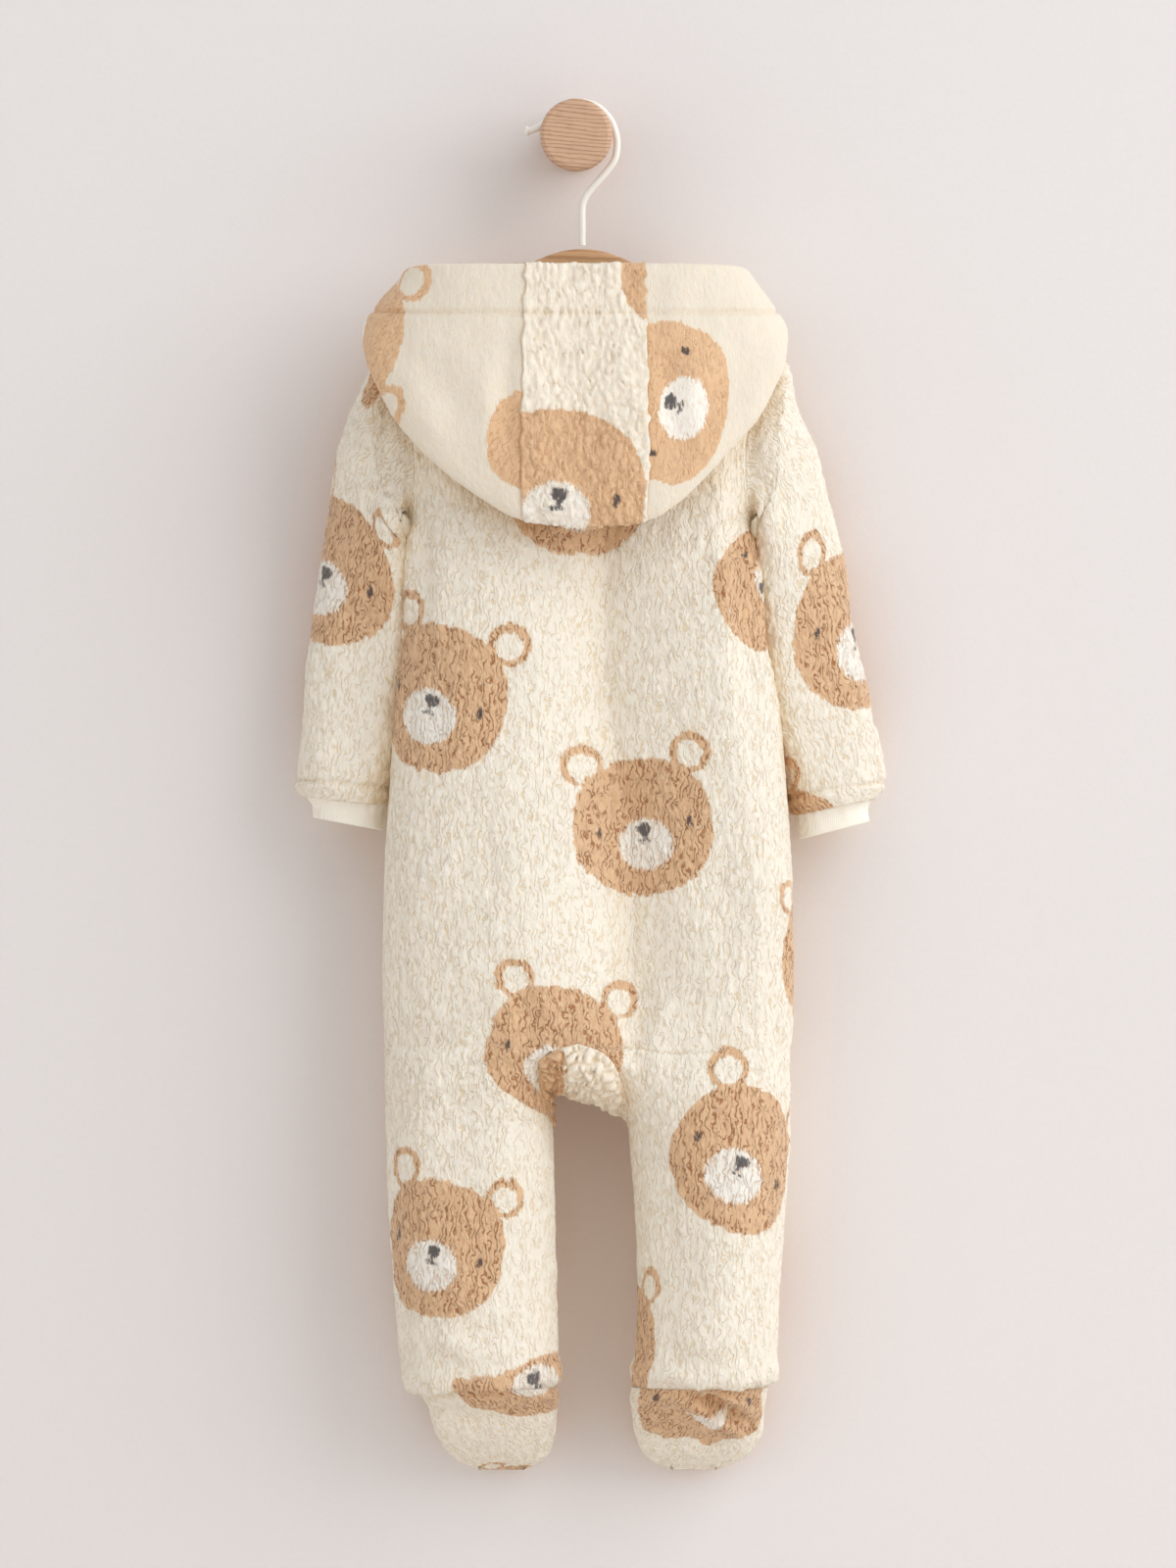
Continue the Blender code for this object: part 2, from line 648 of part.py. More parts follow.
def hood_outside(side, round_at):
    """Outside of the hood's section at one place round the neck, from the neck seam to its edge."""
    sizes = HOOD_TABLE.at(round_at)
    sign = -1 if side == "left" else 1
    face, t = ("back", 1 - round_at) if round_at <= 1 else ("front", round_at - 1)
    neck = section_point(SUIT_TABLE, side, face, NECK, t * middle_turn(face, NECK))
    fold = Vector((sign * sizes["fold_reach"] + sizes["lean"], sizes["fold_y"], sizes["fold_z"]))
    hem = Vector((sign * sizes["hem_reach"] + sizes["lean"], sizes["hem_y"], sizes["hem_z"]))
    away = outward(SUIT_TABLE, side, face, NECK, t)
    away.z = 0
    away.normalize()
    path = []
    for k in range(ROLL_STEPS):
        turn = math.pi * k / ROLL_STEPS
        rise = Vector((0, 0, NECK_ROLL * math.sin(turn)))
        path.append(neck + away * NECK_ROLL * (1 - math.cos(turn)) + rise)
    start = neck + away * 2 * NECK_ROLL
    middle = (start + hem) / 2
    for k in range(HOOD_STEPS + 1):
        turn = math.pi * k / HOOD_STEPS
        depth = abs(math.sin(turn)) ** sizes["power"]
        point = start + (hem - start) * (1 - math.cos(turn)) / 2 + (fold - middle) * depth
        path.append(lifted_off(point, round_at) if k <= HOOD_STEPS / 2 else point)
    return path


def hood_rows(side):
    """Stations of half the hood, from the middle of the back to the throat, in the neck's columns."""
    return [hood_outside(side, i / COLUMNS) for i in range(2 * COLUMNS + 1)]


def hood_walls():
    """Outer and inner points of the whole hood, from the left throat round to the right throat."""
    left, right = hood_rows("left"), hood_rows("right")
    grid = list(reversed(left)) + right[1:]
    rows = []
    for i, path in enumerate(grid):
        before, after = grid[max(i - 1, 0)], grid[min(i + 1, len(grid) - 1)]
        row = []
        for k, point in enumerate(path):
            along = path[min(k + 1, len(path) - 1)] - path[max(k - 1, 0)]
            normal = along.cross(after[k] - before[k]).normalized()
            row.append(((i, k), point, point + normal * FLEECE))
        rows.append(row)
    return rows


def make_hood():
    rows = hood_walls()
    middle = len(rows) // 2
    seam_left, seam_right = middle - (COLUMNS - HOOD_SEAM), middle + (COLUMNS - HOOD_SEAM)
    pieces = {
        "hood_left": rows[:seam_left + 1],
        "hood_centre": rows[seam_left:seam_right + 1],
        "hood_right": rows[seam_right:],
    }
    for name, part in pieces.items():
        cloth = Cloth(name, FLEECE_COLOUR)
        cloth.strip(part)
        cloth.build()


# ------------------------------------------------------------------ zip
def make_zip_chain():
    """Tape and closed teeth, between the front panels' edges."""
    chain = Cloth("zip_chain", ZIP_COLOUR, 0.6)
    rows = []
    for z in ZIP_ROWS:
        left, right = (suit_row(side, "front", z)[-1][1] for side in ("left", "right"))
        middle = (left + right) / 2
        inward = Vector((0, -ZIP_THICK, 0))
        rows.append([((z, i), point, point + inward) for i, point in enumerate((left, middle, right))])
    chain.strip(rows)
    return chain.build()


def box(mesh, low, high):
    """Add a box between two corners."""
    made = bmesh.ops.create_cube(mesh, size=1)
    for corner in made["verts"]:
        corner.co = Vector(low[k] if corner.co[k] < 0 else high[k] for k in range(3))
    return made


def solid_of_boxes(name, corners, colour, roughness, metallic, bevel):
    """One solid made of overlapping boxes, united and bevelled."""
    pieces = []
    for low, high in corners:
        mesh = bmesh.new()
        box(mesh, [value * MM for value in low], [value * MM for value in high])
        pieces.append(finish_mesh(name, mesh, colour, roughness, metallic))
    body, rest = pieces[0], pieces[1:]
    body.name = name
    for cutter in rest:
        cutter.name = name + "_add"
        cutter.hide_render = True
        cutter.hide_viewport = True
        cutter.display_type = "WIRE"
        union = body.modifiers.new("join", "BOOLEAN")
        union.operation = "UNION"
        union.object = cutter
    rounding = body.modifiers.new("edges", "BEVEL")
    rounding.width = bevel * MM
    rounding.segments = 1
    rounding.limit_method = "ANGLE"
    return body


def make_slider():
    """Slider body with the bridge that the pull tab hangs from."""
    x, front, z = ZIP_X, ZIP_FRONT, SLIDER_Z
    plate_half, below, above, plate_depth = PLATE
    half, reach, hollow, bar_start, bar_end = BRIDGE
    foot = front + plate_depth - 0.5        # the legs start inside the plate
    plate = ((x - plate_half, front, z - below), (x + plate_half, front + plate_depth, z + above))
    upper_leg = ((x - half, foot, z + hollow), (x + half, front + bar_end, z + reach))
    lower_leg = ((x - half, foot, z - reach), (x + half, front + bar_end, z - hollow))
    bar = ((x - half, front + bar_start, z - reach), (x + half, front + bar_end, z + reach))
    corners = (plate, upper_leg, lower_leg, bar)
    return solid_of_boxes("zip_slider", corners, METAL_COLOUR, 0.35, 1.0, SLIDER_BEVEL)


def make_pull():
    """Pull tab: a plate with an eye that goes round the slider's bridge, hinged about X."""
    half, top, taper_z, tip_z = PULL_PLATE
    narrow = half - PULL_TAPER
    eye_half, eye_foot = PULL_EYE
    mesh = bmesh.new()
    outline = ((-half, top), (half, top), (half, -taper_z), (narrow, -tip_z), (-narrow, -tip_z),
               (-half, -taper_z))
    eye = ((-eye_half, -top), (eye_half, -top), (eye_half, -eye_foot), (-eye_half, -eye_foot))
    layers = []
    for y in (-PULL_THICK / 2, PULL_THICK / 2):
        outer = [mesh.verts.new(Vector((px, y, pz)) * MM) for px, pz in outline]
        inner = [mesh.verts.new(Vector((px, y, pz)) * MM) for px, pz in eye]
        layers.append((outer, inner))
    for outer, inner in layers:
        mesh.faces.new((outer[0], outer[1], inner[1], inner[0]))
        mesh.faces.new((outer[1], outer[2], inner[2], inner[1]))
        mesh.faces.new((outer[2], outer[3], outer[4], outer[5], inner[3], inner[2]))
        mesh.faces.new((outer[5], outer[0], inner[0], inner[3]))
    for loop in (0, 1):
        near, far = layers[0][loop], layers[1][loop]
        for i in range(len(near)):
            j = (i + 1) % len(near)
            mesh.faces.new((near[i], near[j], far[j], far[i]))
    bmesh.ops.recalc_face_normals(mesh, faces=mesh.faces)
    tab = finish_mesh("zip_pull", mesh, METAL_COLOUR, 0.35, 1.0)
    tab.location = Vector((ZIP_X, PULL_Y, SLIDER_Z)) * MM
    return tab


# ------------------------------------------------------------------ hanger and peg
def hanger_top(reach):
    """Height of the hanger's upper edge at a distance from its middle."""
    curved = min(reach, CROWN_REACH)
    height = HANGER_TOP - (CROWN_RADIUS - math.sqrt(CROWN_RADIUS ** 2 - curved ** 2))
    return height - (reach - curved) * ARM_SLOPE


def make_hanger_bar():
    """Wooden bar: a crown and two sloping arms with rounded edges and ends."""
    half = [(HANGER_REACH * i / 7, 1.0) for i in range(7)]
    half += [(HANGER_REACH - setback, scale) for setback, scale in HANGER_END]
    places = [(-reach, scale) for reach, scale in reversed(half[1:])] + half
    mesh = bmesh.new()
    sections = []
    for reach, scale in places:
        height = HANGER_HEIGHT * (1 - HANGER_TAPER * abs(reach) / HANGER_REACH)
        middle = Vector((HOOK_X + reach, HOOK_Y, hanger_top(abs(reach)) - height / 2))
        ring = []
        for i in range(HANGER_SIDES):
            turn = math.tau * (i + 0.5) / HANGER_SIDES
            y = signed_power(math.cos(turn), HANGER_SQUARE) * HANGER_THICK / 2 * scale
            z = signed_power(math.sin(turn), HANGER_SQUARE) * height / 2 * scale
            ring.append(mesh.verts.new((middle + Vector((0, y, z))) * MM))
        sections.append(ring)
    for near, far in zip(sections, sections[1:]):
        for i in range(HANGER_SIDES):
            j = (i + 1) % HANGER_SIDES
            mesh.faces.new((near[i], near[j], far[j], far[i]))
    mesh.faces.new(sections[0])
    mesh.faces.new(reversed(sections[-1]))
    bmesh.ops.triangulate(mesh, faces=mesh.faces)
    bmesh.ops.recalc_face_normals(mesh, faces=mesh.faces)
    return finish_mesh("hanger_bar", mesh, HANGER_COLOUR, 0.5)


def smooth_route(points, steps):
    """Catmull-Rom route through hand-set points, with the given steps between two of them."""
    ends = [points[0] * 2 - points[1], *points, points[-1] * 2 - points[-2]]
    route = []
    for a, b, c, d in zip(ends, ends[1:], ends[2:], ends[3:]):
        for i in range(steps):
            f = i / steps
            route.append(0.5 * (2 * b + (c - a) * f + (2 * a - 5 * b + 4 * c - d) * f * f
                                + (3 * b - a - 3 * c + d) * f ** 3))
    return route + [points[-1]]


def make_hook():
    """Bent wire from the ball at its tip over the peg and down to the hanger's crown."""
    points = [Vector((x, HOOK_Y, z)) for x, z in HOOK_POINTS]
    points.append(Vector((HOOK_X, HOOK_Y, HANGER_TOP + SEAM_GAP)))
    route = smooth_route(points, 4)
    curve = bpy.data.curves.new("hanger_hook", "CURVE")
    curve.dimensions = "3D"
    curve.bevel_depth = WIRE_RADIUS * MM
    curve.bevel_resolution = 3
    curve.use_fill_caps = True
    spline = curve.splines.new("POLY")
    spline.points.add(len(route) - 1)
    for i, point in enumerate(route):
        spline.points[i].co = (*(point * MM), 1)
        spline.points[i].radius = TIP_SWELL if i in (1, 2) else 1
    hook = bpy.data.objects.new("hanger_hook", curve)
    bpy.context.scene.collection.objects.link(hook)
    dress(hook, WIRE_COLOUR, 0.35)
    return hook


def make_peg():
    """Turned peg with a round head; its flat back face goes on the wall."""
    mesh = bmesh.new()
    rings = []
    for y, radius in PEG_PROFILE:
        turns = [math.tau * i / PEG_SIDES for i in range(PEG_SIDES)]
        ring = [Vector((radius * math.cos(turn), y, radius * math.sin(turn))) for turn in turns]
        rings.append([mesh.verts.new(point * MM) for point in ring])
    for near, far in zip(rings, rings[1:]):
        for i in range(PEG_SIDES):
            j = (i + 1) % PEG_SIDES
            mesh.faces.new((near[i], near[j], far[j], far[i]))
    mesh.faces.new(rings[0])
    mesh.faces.new(reversed(rings[-1]))
    bmesh.ops.recalc_face_normals(mesh, faces=mesh.faces)
    return finish_mesh("wall_peg", mesh, PEG_COLOUR, 0.5)


def main():
    for item in list(bpy.data.objects):
        bpy.data.objects.remove(item)
    make_back()
    make_front("left")
    make_front("right")
    make_gusset()
    for side in ("left", "right"):
        make_foot(side, "back", "sole")
        make_foot(side, "front", "foot_top")
        make_sleeve(side)
        make_cuff(side)
    make_hood()
    make_zip_chain()
    make_slider()
    make_pull()
    make_hanger_bar()
    make_hook()
    make_peg()


main()
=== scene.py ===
"""Looks of a baby's footed pramsuit in teddy fleece, on a wooden hanger and a wall peg.

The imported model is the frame: the wall is the plane y = 0, +Z is up, and the suit's back faces -Y.
Every cloth node is replaced by a shell on the same sections, whose outside carries a modelled
pile: tufts grow from a cellular field, sink into the seams and fold over the hems.  The print of
bear heads is worked out for each tuft, so its edges follow the pile.  Sizes are in millimetres
until a mesh is written.
"""

import logging
import math
from dataclasses import dataclass, field
from enum import Enum

import bpy
import numpy as np
from bpy.types import Material, Node, NodeOutputs, NodeSocket, NodeTree, Object
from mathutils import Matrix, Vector
from numpy import ndarray


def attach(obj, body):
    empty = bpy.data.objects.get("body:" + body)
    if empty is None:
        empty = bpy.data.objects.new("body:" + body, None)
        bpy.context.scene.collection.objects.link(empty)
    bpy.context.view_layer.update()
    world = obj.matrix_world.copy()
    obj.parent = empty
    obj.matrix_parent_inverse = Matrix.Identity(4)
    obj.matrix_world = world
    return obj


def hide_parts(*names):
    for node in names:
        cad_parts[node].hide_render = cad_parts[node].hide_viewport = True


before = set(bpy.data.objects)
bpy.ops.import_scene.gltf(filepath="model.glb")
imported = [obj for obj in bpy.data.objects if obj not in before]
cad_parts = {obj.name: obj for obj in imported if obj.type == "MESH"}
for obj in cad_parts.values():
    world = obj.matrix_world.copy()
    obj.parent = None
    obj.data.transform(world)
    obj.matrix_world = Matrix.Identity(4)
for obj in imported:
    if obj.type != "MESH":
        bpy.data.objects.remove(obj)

log = logging.getLogger("pramsuit")

Colour = tuple[int, int, int]       # red, green and blue of a display, up to 255

MM = 0.001
WHITE = (1.0, 1.0, 1.0, 1.0)
PANEL_TURN = 5          # outer steps for each step of the inner wall
FLEECE_WALL = 3.5
JERSEY_WALL = 2.0
SEAM_HALF = 0.06        # every piece stops this far short of its seam
FLATTEN = 0.85          # power that squares off the rounded sections
ONE_TUBE = 0.501        # below this wrap a section is one tube
NECK = -77.0
NECK_DROP = 36.0
NECK_BLEND = 66.0
ARMHOLE_TOP = -113.0
ARMHOLE_FOOT = -215.0
ARMHOLE_CUT = 12.0
CROTCH = -501.0
INSEAM = -549.0
HEEL = -692.0
TOE = -740.0
ZIP_FOOT = -470.0
ZIP_END = -473.0
ZIP_HALF = 5.0
GUSSET_SAG = 22.0
COLUMNS = 8             # stations of the hood in each quarter
HOOD_SEAM = 6.2         # station from the side where its centre strip is sewn on
HOOD_STEPS = 12
ROLL_STEPS = 3
NECK_ROLL = 2.4
REST_GAP = 4.0
RIDGE_LIFT = 2.5

# Sections of the suit from neck to heel, in the columns that the solids use.
SUIT = (
    "z left right mid_left mid_right side_y back_y front_y wrap",
    (-77, -47, 53, 3, 3, -50, -77, -24, 0.5),
    (-91, -75, 81, 3, 3, -50, -79, -21, 0.5),
    (-106, -101, 106, 3, 3, -50, -81, -18, 0.5),
    (-113, -107, 111.5, 3, 3, -50, -82, -17, 0.5),
    (-150, -105, 108, 3, 3, -50, -86, -14, 0.5),
    (-190, -99, 103, 3, 3, -51, -90, -12, 0.5),
    (-215, -97, 101, 3, 3, -52, -92, -11, 0.5),
    (-245, -96, 103, 4, 4, -57, -94, -10, 0.5),
    (-278, -96, 105, 5, 5, -58, -96, -9, 0.5),
    (-315, -100, 112, 6, 6, -58, -97, -9, 0.5),
    (-360, -103, 116, 6, 6, -57, -98, -9, 0.5),
    (-410, -106, 119, 6, 6, -56, -99, -8, 0.5),
    (-467, -107, 120, 4, 4, -55, -99, -9, 0.5),
    (-501, -106, 119, 1, 1, -54, -98, -10, 0.5),
    (-505, -106, 118, -11, 12, -54, -98, -10, 0.55),
    (-512, -106, 118, -20, 20, -54, -97, -10, 0.65),
    (-523, -106, 118, -20, 25, -54, -97, -11, 0.78),
    (-536, -105, 118, -16, 28, -54, -96, -11, 0.9),
    (-549, -105, 118, -13, 29, -54, -96, -12, 1.0),
    (-602, -103, 115, -12, 33, -53, -95, -12, 1.0),
    (-645, -100, 112, -11, 34, -52, -94, -12, 1.0),
    (-672, -98, 111, -10, 33, -51, -92, -13, 1.0),
    (-684, -95, 110, -10, 32, -50, -89, -13, 1.0),
    (-692, -89, 106, -11, 31, -48, -83, -13, 1.0),
)
FEET = (
    SUIT[0], SUIT[-1],
    (-698, -85, 105, -10, 30, -47, -78, -12, 1.0),
    (-706, -81, 104, -11, 31, -42, -68, -10, 1.0),
    (-716, -79, 103.5, -11.5, 32, -36, -56, -9, 1.0),
    (-726, -74, 100, -13.5, 35, -30, -44, -9, 1.0),
    (-734, -66.5, 92, -18, 41, -24, -33, -11, 1.0),
    (-740, -54, 78, -29, 53, -19, -19.2, -18.8, 1.0),
)
FOLDS = "row outer_x outer_z inner_x inner_z mid_y half_depth"
LEFT_SLEEVE = (
    FOLDS,
    (1, -113, -127, -99.5, -220, -49, 26),
    (2, -121, -146, -100, -225, -47, 28),
    (3, -129, -166, -98, -231, -43, 28.5),
    (4, -134.5, -190, -95, -243, -39, 28),
    (5, -140, -216, -92.5, -258, -35, 27),
    (6, -144, -246, -92, -277, -33, 26),
    (7, -148, -282, -93.5, -302, -32, 25),
    (8, -151.5, -316, -97, -329, -32, 25),
    (9, -154.5, -345, -98.5, -352, -33, 25),
    (10, -155, -358, -99.5, -364, -33, 24),
    (11, -152.5, -365, -102, -370, -33, 22),
)
RIGHT_SLEEVE = (
    FOLDS,
    (1, 116, -127, 103.5, -220, -49, 26),
    (2, 121.5, -148, 104.5, -225, -47, 28),
    (3, 130, -170, 103, -231, -43, 28.5),
    (4, 138, -192, 102, -243, -39, 28),
    (5, 144.5, -217, 101, -258, -35, 27),
    (6, 151, -247, 102, -277, -33, 26),
    (7, 157.5, -283, 105.5, -302, -32, 25),
    (8, 163.5, -319, 111, -329, -32, 25),
    (9, 169, -346, 114, -354, -33, 25),
    (10, 169.5, -358, 115.5, -368, -33, 24),
    (11, 166, -366, 118.5, -375, -33, 22),
)
LEFT_CUFF = (
    FOLDS,
    (0, -149.5, -365.7, -104.5, -370.6, -33, 18.5),
    (1, -146.5, -371, -106, -377, -33, 16.5),
    (2, -146, -376.5, -106.5, -383.5, -33, 16.5),
)
RIGHT_CUFF = (
    FOLDS,
    (0, 163.2, -366.9, 121, -375.3, -33, 18.5),
    (1, 162, -373, 122, -381, -33, 16.5),
    (2, 162.8, -378.5, 123.5, -388.5, -33, 16.5),
)
HOOD = (
    "round fold_reach fold_y fold_z hem_reach hem_y hem_z lean power",
    (0.0, 0, -113, -217, 0, -110, -74.5, 4.5, 0.75),
    (0.25, 34.5, -112, -214, 34.5, -109.5, -74.5, 4.5, 0.75),
    (0.45, 60, -109, -199, 60, -107, -74.5, 2, 0.8),
    (0.65, 86, -102, -172, 80, -100, -74.5, 0, 0.9),
    (0.85, 106, -92, -142, 93, -88, -75.5, 0, 1.0),
    (1.0, 111, -76, -117, 96, -70, -78, 0, 1.0),
    (1.2, 104, -48, -104, 88, -44, -84, 0, 1.0),
    (1.5, 76, -20, -106, 68, -24, -95, 0, 1.0),
    (1.75, 42, -10, -120, 40, -13, -109, 0, 1.0),
    (1.96, 17, -8, -130, 15, -11, -121, 0, 1.0),
)
ARMHOLE_ROWS = (-113, -121, -132, -148, -168, -188, -205, -215)
SPLIT_ROWS = (-501, -505, -512, -523, -536, -549)


class Side(Enum):
    """Side of the suit, as its tables name it."""

    LEFT = "left"
    RIGHT = "right"

    @property
    def sign(self) -> int:
        """-1 towards -X and 1 towards +X."""
        return -1 if self is Side.LEFT else 1


class Face(Enum):
    """Face of the suit, as its tables name it."""

    BACK = "back"
    FRONT = "front"


class Edge(Enum):
    """Edge of a gridded panel: the axis that it ends, and its place on that axis."""

    TOP = (0, 0)
    BOTTOM = (0, -1)
    START = (1, 0)
    END = (1, -1)


# ---------- smooth sections
class Table:
    """Rows of sizes with named columns, read smoothly between its keys."""

    def __init__(self, rows: tuple) -> None:
        """Sort the rows and work out slopes that never overshoot.

        Args:
            rows: a heading of column names, then one tuple for each row.
        """
        self.names = rows[0].split()[1:]
        values = np.array(sorted(rows[1:]), dtype=float)
        self.keys = values[:, 0]
        self.values = values[:, 1:]
        widths = np.diff(self.keys)
        chords = np.diff(self.values, axis=0) / widths[:, None]
        before, after = chords[:-1], chords[1:]
        product = before * after
        total = np.where(product > 0, before + after, 1.0)
        between = np.where(product > 0, 2 * product / total, 0.0)
        self.slopes = np.concatenate((chords[:1], between, chords[-1:]))

    def at(self, key: ndarray) -> dict[str, ndarray]:
        """Read every column at many keys.

        Args:
            key: where to read, of any shape.

        Returns:
            One array of the same shape for each column's name.
        """
        key = np.clip(np.asarray(key, dtype=float), self.keys[0], self.keys[-1])
        i = np.clip(np.searchsorted(self.keys, key, side="right") - 1, 0, len(self.keys) - 2)
        width = self.keys[i + 1] - self.keys[i]
        f = (key - self.keys[i]) / width
        found = {}
        for column, name in enumerate(self.names):
            a, b = self.values[i, column], self.values[i + 1, column]
            slope_a = self.slopes[i, column] * width
            slope_b = self.slopes[i + 1, column] * width
            found[name] = (a * (1 + 2 * f) * (1 - f) ** 2 + b * f * f * (3 - 2 * f)
                           + slope_a * f * (1 - f) ** 2 - slope_b * f * f * (1 - f))
        return found


def signed_power(value: ndarray, power: float) -> ndarray:
    """Raise the size of a value to a power and keep its sign."""
    return np.sign(value) * np.abs(value) ** power


def across(turn: ndarray) -> ndarray:
    """How far along a section's width the point at this turn lies, from 1 to -1."""
    return signed_power(np.cos(turn), FLATTEN)


def smooth(value: ndarray) -> ndarray:
    """Ease a value from 0 to 1, flat outside that range."""
    value = np.clip(value, 0.0, 1.0)
    return value * value * (3 - 2 * value)


def unit(vectors: ndarray) -> ndarray:
    """Vectors of length 1 along the last axis."""
    length = np.linalg.norm(vectors, axis=-1, keepdims=True)
    return vectors / np.maximum(length, 1e-9)


@dataclass
class Sections:
    """Smooth sections of the suit or its feet, shared by the panels that meet on them."""

    table: Table

    def column_turn(self, z: ndarray, reach: ndarray) -> ndarray:
        """Share of the quarter arc that lies `reach` of the half width in from the side."""
        full = np.pi * self.table.at(z)["wrap"]
        cosine = np.clip(1 - reach * (1 - across(full)), 0, 1) ** (1 / FLATTEN)
        return np.arccos(cosine) / full

    def half_width(self, z: ndarray) -> ndarray:
        """Distance from the side seam to the middle line."""
        sizes = self.table.at(z)
        return sizes["mid_left"] - sizes["left"]

    def point(self, side: Side, face: Face, z: ndarray, t: ndarray) -> ndarray:
        """Points of a quarter of the sections.

        Args:
            side: left or right half.
            face: back or front.
            z: heights.
            t: 0 at the side seam and 1 at the middle line or the inseam.

        Returns:
            Points with x, y and z on the last axis.
        """
        z, t = np.broadcast_arrays(np.asarray(z, float), np.asarray(t, float))
        lowered = z
        if face is Face.FRONT:
            fade = np.clip(1 - (NECK - z) / NECK_BLEND, 0, 1)
            lowered = z - NECK_DROP * fade * fade * t * t * (3 - 2 * t)
        sizes, depth = self.table.at(z), self.table.at(lowered)
        full = np.pi * sizes["wrap"]
        along = (1 - across(full * t)) / (1 - across(full))
        one = (sizes["mid_left"] + sizes["mid_right"]) / 2
        outer = sizes[side.value]
        inner = np.where(sizes["wrap"] < ONE_TUBE, one, sizes["mid_" + side.value])
        bulge = np.abs(np.sin(full * t)) ** FLATTEN
        y = depth["side_y"] + (depth[face.value + "_y"] - depth["side_y"]) * bulge
        return np.stack((outer + (inner - outer) * along, y, lowered), axis=-1)


SUIT_FORM = Sections(Table(SUIT))
FEET_FORM = Sections(Table(FEET))


def armhole_cut() -> Table:
    """How far the armhole is cut in at the heights that the solids use."""
    span = ARMHOLE_TOP - ARMHOLE_FOOT
    return Table(("z cut", *((z, ARMHOLE_CUT * math.sin(math.pi * (z - ARMHOLE_FOOT) / span) ** 0.6
                              if ARMHOLE_FOOT < z < ARMHOLE_TOP else 0.0) for z in ARMHOLE_ROWS)))


def armhole_turn(z: ndarray) -> ndarray:
    """Where a panel starts beside the armhole, as a share of the quarter arc."""
    cut = np.maximum(armhole_cut().at(z)["cut"], 0.0)
    return SUIT_FORM.column_turn(z, cut / SUIT_FORM.half_width(z))


def front_turn(z: ndarray) -> ndarray:
    """Where a front panel ends beside the zip, as a share of the quarter arc."""
    beside = SUIT_FORM.column_turn(z, 1 - ZIP_HALF / SUIT_FORM.half_width(z))
    below = smooth((ZIP_FOOT - np.asarray(z, float)) / (ZIP_FOOT - ZIP_END))
    return beside * (1 - below) + below


def along_curve(line: ndarray) -> ndarray:
    """Distance from the start of a row of points to each of them."""
    return np.concatenate(([0], np.cumsum(np.linalg.norm(np.diff(line, axis=0), axis=1))))


def steps(*stretches: tuple[float, float, int]) -> ndarray:
    """Join evenly spaced stretches.

    Args:
        stretches: start, end and number of steps of each one.

    Returns:
        All the places in order, without repeats where stretches meet.
    """
    parts = [np.linspace(a, b, n + 1)[(1 if i else 0):] for i, (a, b, n) in enumerate(stretches)]
    return np.concatenate(parts)


# ---------- noise for pile and creases
def scatter(cells: list[ndarray], salt: int) -> ndarray:
    """Even random numbers from 0 to 1 for whole-number cells, the same on every run.

    Args:
        cells: numbers of the cells along each axis.
        salt: picks one pattern.

    Returns:
        One value for each cell.
    """
    with np.errstate(over="ignore"):
        mixed = np.full(cells[0].shape, (salt * 0x9E3779B1) & 0xFFFFFFFF, dtype=np.uint32)
        for cell, prime in zip(cells, (0x85EBCA6B, 0xC2B2AE35, 0x27D4EB2F)):
            mixed ^= cell.astype(np.int64).astype(np.uint32) * np.uint32(prime)
            mixed = (mixed << np.uint32(13)) | (mixed >> np.uint32(19))
            mixed = mixed * np.uint32(5) + np.uint32(0xE6546B64)
        for shift, prime in ((16, 0x85EBCA6B), (13, 0xC2B2AE35), (16, 1)):
            mixed = (mixed ^ (mixed >> np.uint32(shift))) * np.uint32(prime)
    return mixed.astype(np.float64) / 2 ** 32


def soft_noise(points: ndarray, scale: float, salt: int) -> ndarray:
    """Smooth noise between -1 and 1.

    Args:
        points: places with x, y and z on the last axis.
        scale: size of its lumps, or three sizes.
        salt: picks one pattern.

    Returns:
        One value for each place.
    """
    place = points / np.asarray(scale, float)
    base = np.floor(place)
    f = place - base
    f = f * f * f * (f * (f * 6 - 15) + 10)
    total = np.zeros(points.shape[:-1])
    for corner in range(8):
        bits = [(corner >> k) & 1 for k in range(3)]
        cells = [(base[..., k] + bits[k]).astype(np.int64) for k in range(3)]
        share = np.ones(points.shape[:-1])
        for k in range(3):
            share = share * (f[..., k] if bits[k] else 1 - f[..., k])
        total += scatter(cells, salt) * share
    return total * 2 - 1


def tufts(places: ndarray, salt: int) -> tuple[ndarray, ndarray, ndarray, ndarray]:
    """Nearest tuft of each place, for a field with one tuft in each unit cell.

    Args:
        places: (n, 3) places in units of a cell.
        salt: picks one pattern.

    Returns:
        Distance to the nearest root, to the second nearest, the nearest root's place, and a
        random number of that tuft.
    """
    base = np.floor(places).astype(np.int64)
    first = np.full(len(places), 9.0)
    second = np.full(len(places), 9.0)
    root = np.zeros_like(places)
    chance = np.zeros(len(places))
    for offset in np.ndindex(3, 3, 3):
        cells = [base[:, k] + offset[k] - 1 for k in range(3)]
        spot = np.stack([cells[k] + scatter(cells, salt + k) for k in range(3)], axis=1)
        distance = ((places - spot) ** 2).sum(axis=1)
        nearer = distance < first
        second = np.where(nearer, first, np.minimum(second, distance))
        first = np.where(nearer, distance, first)
        root = np.where(nearer[:, None], spot, root)
        chance = np.where(nearer, scatter(cells, salt + 7), chance)
    return np.sqrt(first), np.sqrt(second), root, chance


